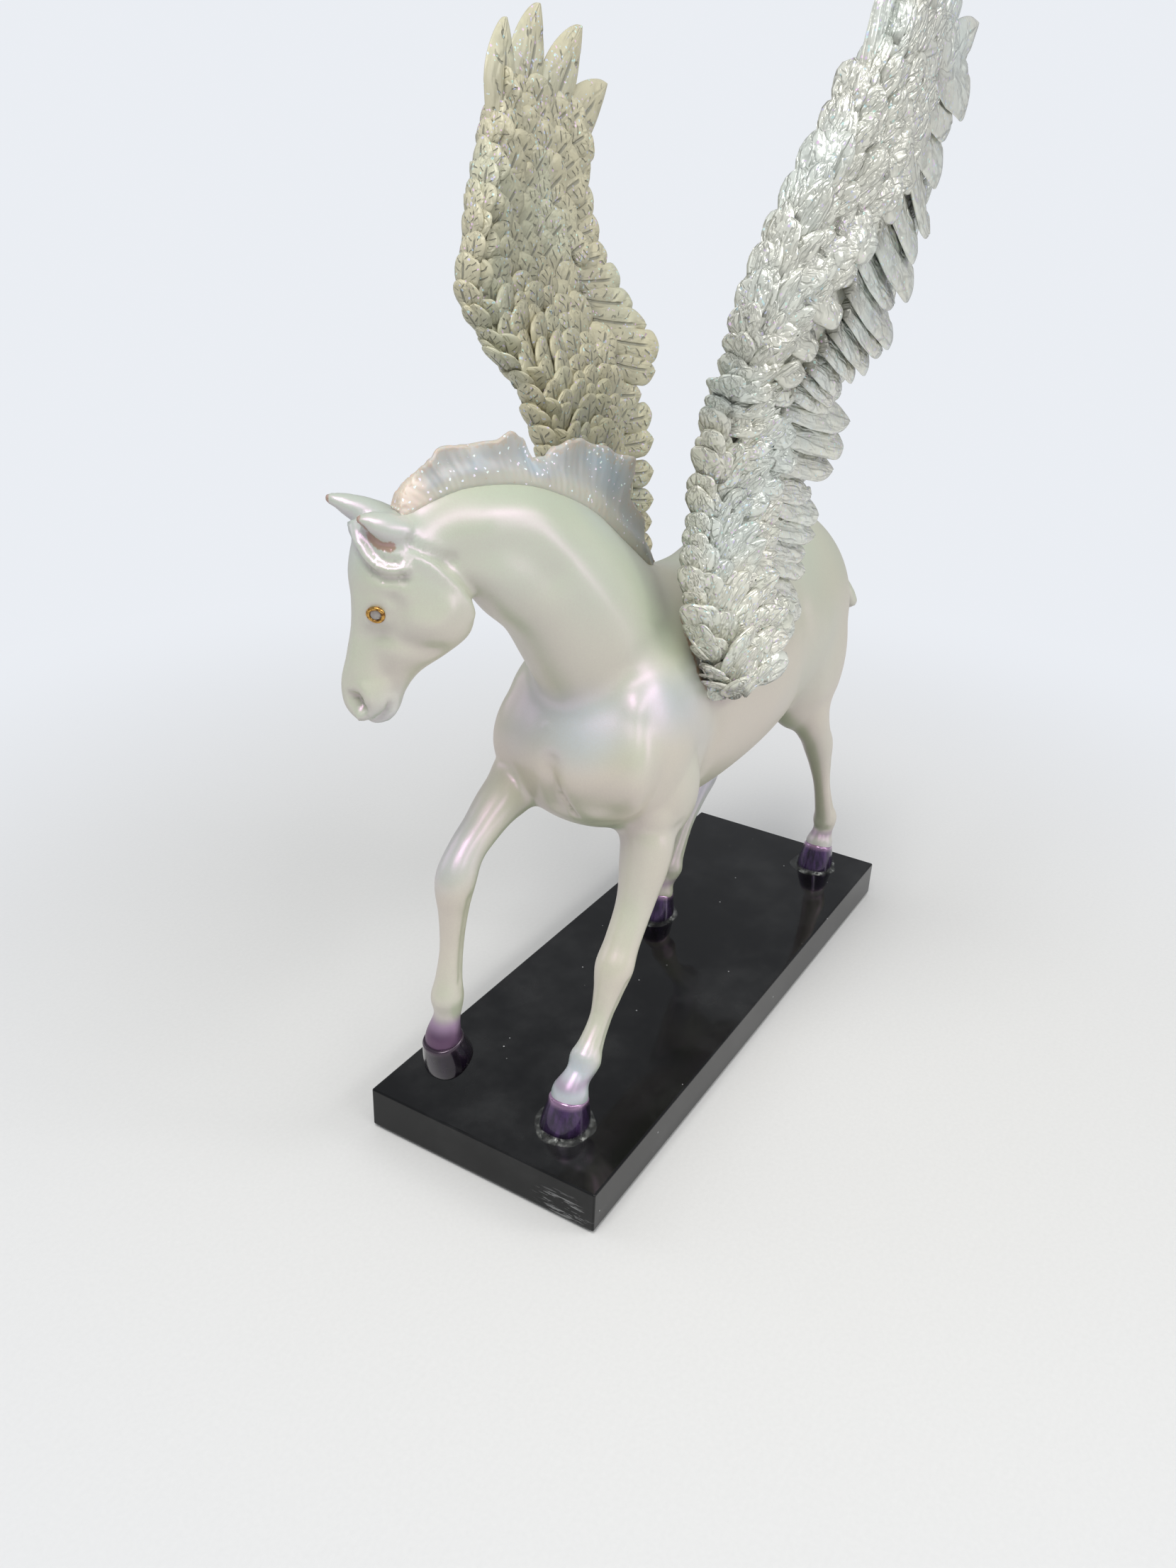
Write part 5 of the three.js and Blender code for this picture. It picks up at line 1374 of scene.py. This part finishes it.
feathering_tree = feathering()
flights, edge = np.array(flight_rows), np.array(cover_edge)
for side, name in ((1, "left_wing"), (-1, "right_wing")):
    # Core: rings up the wing, round the nose and out into a thin vane behind
    turn = np.linspace(0, 1, core_corners) ** 1.4 * 1.15
    rings = []
    for h in np.linspace(core_low, core_high, core_rings):
        thin = 0.92 * min(1, (core_top - h) / 5) ** 0.5
        outer = core_point(np.full(core_corners, h), turn[::-1], thin)
        inner = core_point(np.full(core_corners - 1, h), turn[1:], -thin)
        rings.append(np.vstack([outer, inner]))
    verts, faces = loft(np.array(rings) + (0, 0, ground))
    core = object_of(name + "_core", verts * MM, faces)
    smooth_faces(core)
    core.data.materials.append(silver)
    # The whole core takes one place on the chart, near a feather's root, so it lies partly in painted
    # shade
    chart_on(core, np.tile([0.95, 0.2], (len(verts), 1)))

    # Small feathers over both faces, in staggered ranks that turn backwards away from the nose
    parts = [core]
    for (face, rank, file, uneven, ruffle), kind in ((flame_rank, flame), (scale_rank, scale)):
        spots = []
        for k, h in enumerate(np.arange(rank_low, rank_high, rank)):
            lead, tips = wing_row(h)[:2]
            deep = (lead - tips) * flesh_share
            last = np.interp(h, edge[:, 0], edge[:, 1]) / flesh_share - 0.1
            if face < 0:
                last = np.interp(h, *scale_reach)
            for x in np.arange(file * (0.34 + (k % 2) / 2), deep * last, file):
                up, along_rank = dice.normal(0, uneven), dice.normal(0, 0.02)
                spots.append((h + up, x / deep * (1 + along_rank), face))
        for h in np.arange(rank_low, rank_high, nose_rank):
            spots.append((h + dice.normal(0, 0.4), 0.004, face))
        h, back, face = np.array(spots).T
        h = np.maximum(h, root_low)
        lean = np.arctan2(-(wing_row(h + 4)[0] - wing_row(h - 4)[0]), 8.0)
        rear = np.radians(np.interp(h, flights[:, 1], flights[:, 2]))
        first = np.clip(1 - back / 0.15, 0, 1)
        if kind is flame:
            turned, swing = np.clip(back / 0.6, 0, 1), 0.7
            length, width, round_it = 8.8 - 1.4 * first, 5.6 - 0.4 * first, 0.85 - 0.1 * first
            fuller = np.interp(h, [118, 152], [1.35, 1.0])
        else:
            turned, swing = np.clip(back / 1.3, 0, 1) ** 1.7, 0.68
            length, width, round_it = 8.0 - 0.6 * first, 10.2 - 4.0 * first, 0.42
            fuller = 1.0
        place, normal, way = core_frame(h, back, face, lean * (1 - turned) + swing * rear * turned)
        sizes = np.stack([width * fuller, length * fuller, width * round_it], 1)
        proud = 0.9 * np.clip((back - 0.9) / 0.3, 0, 1) * (face < 0) - 0.35 - 0.5 * first
        seat = place - way * length[:, None] * 0.5 + normal * proud[:, None]
        label = name + ("_flame" if kind is flame else "_scale")
        points = feather_points(label, seat, normal, way, sizes, small_lift)
        parts.append(grown(points, Ruffle=ruffle, Size_spread=0.16, Seed=5, **of_kind(kind)))

    def on_face(x, h, face):
        lead, tips = wing_row(h)[:2]
        return core_point(h, np.maximum((lead - x) / ((lead - tips) * flesh_share), 0.02), face)

    def root_of(tip_x, tip_h, length, angle):
        return tip_x + length * np.sin(angle), np.minimum(tip_h - length * np.cos(angle), root_top)

    def laid(label, tip_x, tip_h, root_x, root_h, wide, sunk, lift, ruffle, number, kind, face=1.0):
        """Long feathers with roots and tips on one face: sunk at the root, lifted at the tip."""
        root, tip = on_face(root_x, root_h, face), on_face(tip_x, tip_h, face)
        middle = on_face((root_x + tip_x) / 2, (root_h + tip_h) / 2, face)
        bulge = np.clip((middle[:, 1] - (root[:, 1] + tip[:, 1]) / 2) * face, 0, None)
        root[:, 1] += (1.2 * bulge - sunk) * face
        tip[:, 1] += (0.8 * bulge + lift) * face
        way = unit(tip - root)
        length = np.linalg.norm(tip - root, axis=1)
        drop = np.stack([root_h - tip_h, 0 * tip_h, tip_x - root_x], 1)
        normal = unit(np.cross(drop, way))
        normal = normal * np.sign(normal[:, 1:2]) * face
        across = np.cross(way, normal)
        down = across * -np.sign(across[:, 2:3] + 1e-9)
        normal = unit(normal * math.cos(lap) - down * math.sin(lap))
        sizes = np.stack([wide, length, wide * 0.95], 1)
        points = feather_points(f"{name}_{label}", root, normal, way, sizes, 0.0)
        parts.append(grown(points, Ruffle=ruffle, Size_spread=0.05, Seed=9 + number, **of_kind(kind)))

    # Flight feathers along the rear, and the broad ones on the inner face
    for label, rows, face in (("flights", flights, 1.0), ("inner_flights", np.array(inner_rows), -1.0)):
        tip_x, tip_h, angle, length, wide = rows.T
        root_x, root_h = root_of(tip_x, tip_h, length, np.radians(angle))
        lift = np.interp(tip_h, [160, 200], [1.2, 1.6]) * (1 if face > 0 else 0.5)
        wide = wide * (flight_breadth if face > 0 else 1.0)
        laid(label, tip_x, tip_h, root_x, root_h, wide, -0.2 * face, lift, 0.03, 9, flight, face)

    # Two rows of covers on the flights' roots, close together along the edge that they follow
    fine = np.linspace(112, 231, 700)
    for number, (short, length, wide, lift) in enumerate(cover_ranks):
        lead, tips = wing_row(fine)[:2]
        x = lead + (tips - lead) * (np.interp(fine, edge[:, 0], edge[:, 1]) - short)
        run = np.r_[0, np.cumsum(np.hypot(np.diff(x), np.diff(fine)) / (wide * 0.8))]
        start = 0.3 + 0.5 * number
        tip_h = np.interp(np.arange(start, run[-1], 1.0), run, fine)
        tip_h = tip_h + dice.normal(0, 0.3, int(run[-1] - start) + 1)
        tip_x = np.interp(tip_h, fine, x) + dice.uniform(-2.2, 1.6, len(tip_h))
        turned = np.interp(tip_h, flights[:, 1], np.minimum(flights[:, 2], 100)) - 14 * number
        root_x, root_h = root_of(tip_x, tip_h, length, np.radians(turned))
        wide = np.full(len(tip_h), wide)
        label = f"covers_{number}"
        laid(label, tip_x, tip_h, root_x, root_h, wide, 0.4, lift, 0.07, 10 + number, cover)

    # The rosette at the foot
    tip_x, tip_h, length, wide = np.array(foot_tips, float).T
    run = np.hypot(tip_x - foot_middle[0], tip_h - foot_middle[1])
    root_x = tip_x - (tip_x - foot_middle[0]) * length / run
    root_h = tip_h - (tip_h - foot_middle[1]) * length / run
    depth = np.linspace(0.5, 2.2, len(tip_x))
    laid("foot", tip_x, tip_h, root_x, root_h, wide, 0.4, depth, 0.08, 7, cover)

    # Four pointed feathers at the top
    h, back, length, wide, angle = np.array(end_feathers).T
    angle = np.radians(angle)
    lead, tips = wing_row(h)[:2]
    x = lead - (lead - tips) * flesh_share * back
    root = np.stack([x, wing_distance(x, h), h], 1)
    tip = root + np.stack([-np.sin(angle), 0 * angle, np.cos(angle)], 1) * length[:, None]
    tip[:, 1] = wing_distance(tip[:, 0], tip[:, 2])
    way = unit(tip - root)
    normal = unit(np.cross(way, np.stack([np.cos(angle), 0 * angle, np.sin(angle)], 1)))
    normal = normal * np.sign(normal[:, 1:2])
    sizes = np.stack([wide, length, wide * 0.95], 1)
    points = feather_points(name + "_top", root, normal, way, sizes, 0.0)
    parts.append(grown(points, Ruffle=0.03, Size_spread=0.02, Seed=2, **of_kind(pointed)))

    with bpy.context.temp_override(
        active_object=core, selected_editable_objects=parts, selected_objects=parts,
    ):
        bpy.ops.object.join()
    wing = core
    wing.name = name + "_feathered"
    co = np.empty(len(wing.data.vertices) * 3)
    wing.data.vertices.foreach_get("co", co)
    co = co.reshape(-1, 3)
    if side < 0:
        co = co * (1, -1, 1)
        wing.data.flip_normals()
    else:
        h = co[:, 2] / MM - ground
        lead, tips = wing_row(h)[:2]
        ahead = 1 - np.clip((lead - co[:, 0] / MM) / (lead - tips), 0, 1)
        co[:, 1] += ahead * np.interp(h, *left_bend) * MM
        t = np.clip((h - rise_from) / (rise_to - rise_from), 0, 1)
        rise = left_rise * t * t * (2 - t) * MM
        co = co + np.stack([-rise_lean * rise, 0 * rise, rise], 1)
    past = np.clip(np.abs(co[:, 1]) / MM - outermost + 1, 0, None)
    co[:, 1] -= np.sign(co[:, 1]) * (past - 1 + np.exp(-past)) * MM
    wing.data.vertices.foreach_set("co", co.ravel())
    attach(wing, "root")
    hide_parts(name)
for shape in flame + scale + flight + cover + pointed[:1]:
    bpy.data.objects.remove(shape)

# The felt: a thin black sheet glued under the base, a little smaller than it, over the heads of
# the screws, so that the ornament doesn't mark the shelf.
felt_black, felt_fuzz = (0.006, 0.006, 0.007, 1), (0.03, 0.03, 0.032, 1)
felt, tree, shader, place = new_material(
    "Black felt", Roughness=0.95, Sheen_Weight=0.4, Sheen_Roughness=0.5,
)
fuzz = noise(tree, place, 1400, 4, 0.7)
feed(tree, shader, Base_Color=blend(tree, fuzz, felt_black, felt_fuzz))
dented(tree, shader, fuzz, 0.6, 0.0003)

# The fixings: turned steel, none of it seen. A dowel holds each leg to the body, a screw comes up
# through the base into each standing hoof, and a pin sits in the root of each wing.
steel_dark, steel_bright = (0.48, 0.48, 0.49, 1), (0.7, 0.7, 0.71, 1)
steel, tree, shader, place = new_material("Bright steel", Metallic=1.0, Roughness=0.3)
line = drawn_out(tree, place, (1, 1, 0.05), 2600, 0.6)
dull = sums(tree, "MULTIPLY_ADD", line, 0.25, 0.2)
feed(tree, shader, Base_Color=blend(tree, line, steel_dark, steel_bright), Roughness=dull)
finishes = {"felt_sheet": felt}
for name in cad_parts:
    if name.endswith(("_dowel", "_screw", "_pin")):
        finishes[name] = steel
for name, finish in finishes.items():
    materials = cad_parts[name].data.materials
    materials.clear()
    materials.append(finish)

# The table: a pale seamless sheet that runs out under the base and far behind it, and pales into
# the haze behind. The lamps are a window-sized key high in front of the horse, a broad soft source
# and an upright strip on its left side, and a weak fill from its right.
sheet_half = 3.0
paper_dark, paper_pale = (0.70, 0.70, 0.69, 1), (0.76, 0.76, 0.75, 1)
sky_pale = (0.92, 0.95, 1.0, 1)
sheet_corners = [(x * sheet_half, y * sheet_half, 0) for x, y in ((-1, -1), (1, -1), (1, 1), (-1, 1))]
floor = object_of("pale_floor", sheet_corners, [(0, 1, 2, 3)])
paper, tree, shader, place = new_material("Pale paper", Roughness=0.8, Specular_IOR_Level=0.2)
fibre = noise(tree, place, 900, 3, 0.6)
feed(tree, shader, Base_Color=blend(tree, fibre, paper_dark, paper_pale))
away = wire(tree, "ShaderNodeVectorMath", {0: place}, operation="LENGTH").outputs["Value"]
direct = wire(tree, "ShaderNodeLightPath").outputs["Is Camera Ray"]
seen = sums(tree, "MULTIPLY", direct, between(tree, away, 0.1, 0.42))
haze = wire(tree, "ShaderNodeEmission", {"Color": sky_pale, "Strength": 0.9})
veil = wire(tree, "ShaderNodeMixShader", {0: seen, 1: shader.outputs[0], 2: haze.outputs[0]})
feed(tree, tree.nodes["Material Output"], Surface=veil.outputs[0])
floor.data.materials.append(paper)
floor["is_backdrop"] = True

target = Vector((0.0, 0.0, 0.12))


def lamp(name, toward, distance, width, height, watts, colour):
    """A flat lamp that looks at the horse from a direction."""
    data = bpy.data.lights.new(name, "AREA")
    data.shape = "RECTANGLE"
    data.size, data.size_y = width, height
    data.energy = watts
    data.color = colour
    made = bpy.data.objects.new(name, data)
    made.location = target + Vector(toward).normalized() * distance
    made.rotation_euler = (target - made.location).to_track_quat("-Z", "Y").to_euler()
    bpy.context.collection.objects.link(made)


lamp("Key", (0.55, 0.1, 1.0), 1.2, 0.6, 0.6, 9.5, (1.0, 0.985, 0.96))
lamp("Side", (-0.05, 0.8, 0.6), 1.2, 1.5, 0.22, 4.4, (1.0, 0.99, 0.97))
lamp("Strip", (-0.38, 0.9, 0.28), 1.2, 0.24, 0.85, 2.2, (1.0, 0.98, 0.99))
lamp("Fill", (0.3, -0.9, 0.4), 1.4, 0.8, 0.8, 2, (0.96, 0.98, 1.0))

world = bpy.data.worlds.new("Studio")
bpy.context.scene.world = world
world.use_nodes = True
tree = world.node_tree
glow = tree.nodes["Background"]
glow.inputs["Color"].default_value = sky_pale
path = wire(tree, "ShaderNodeLightPath")
seen = sums(tree, "MAXIMUM", path.outputs["Is Camera Ray"], path.outputs["Is Transmission Ray"])
feed(tree, glow, Strength=between(tree, seen, 0, 1, 0.42, 0.9))

# The camera stands where the photograph was taken, above and in front of the horse's left side
camera = bpy.data.cameras.new("Camera")
camera.lens = 28.25
camera.sensor_width = 36
camera.clip_start = 0.01
view = bpy.data.objects.new("Camera", camera)
view.location = (0.2839, 0.1390, 0.2276)
view.rotation_euler = [math.radians(a) for a in (63.6134, -2.0319, 121.5201)]
bpy.context.collection.objects.link(view)
bpy.context.scene.camera = view
bpy.context.scene.view_settings.view_transform = "Standard"

low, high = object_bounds()
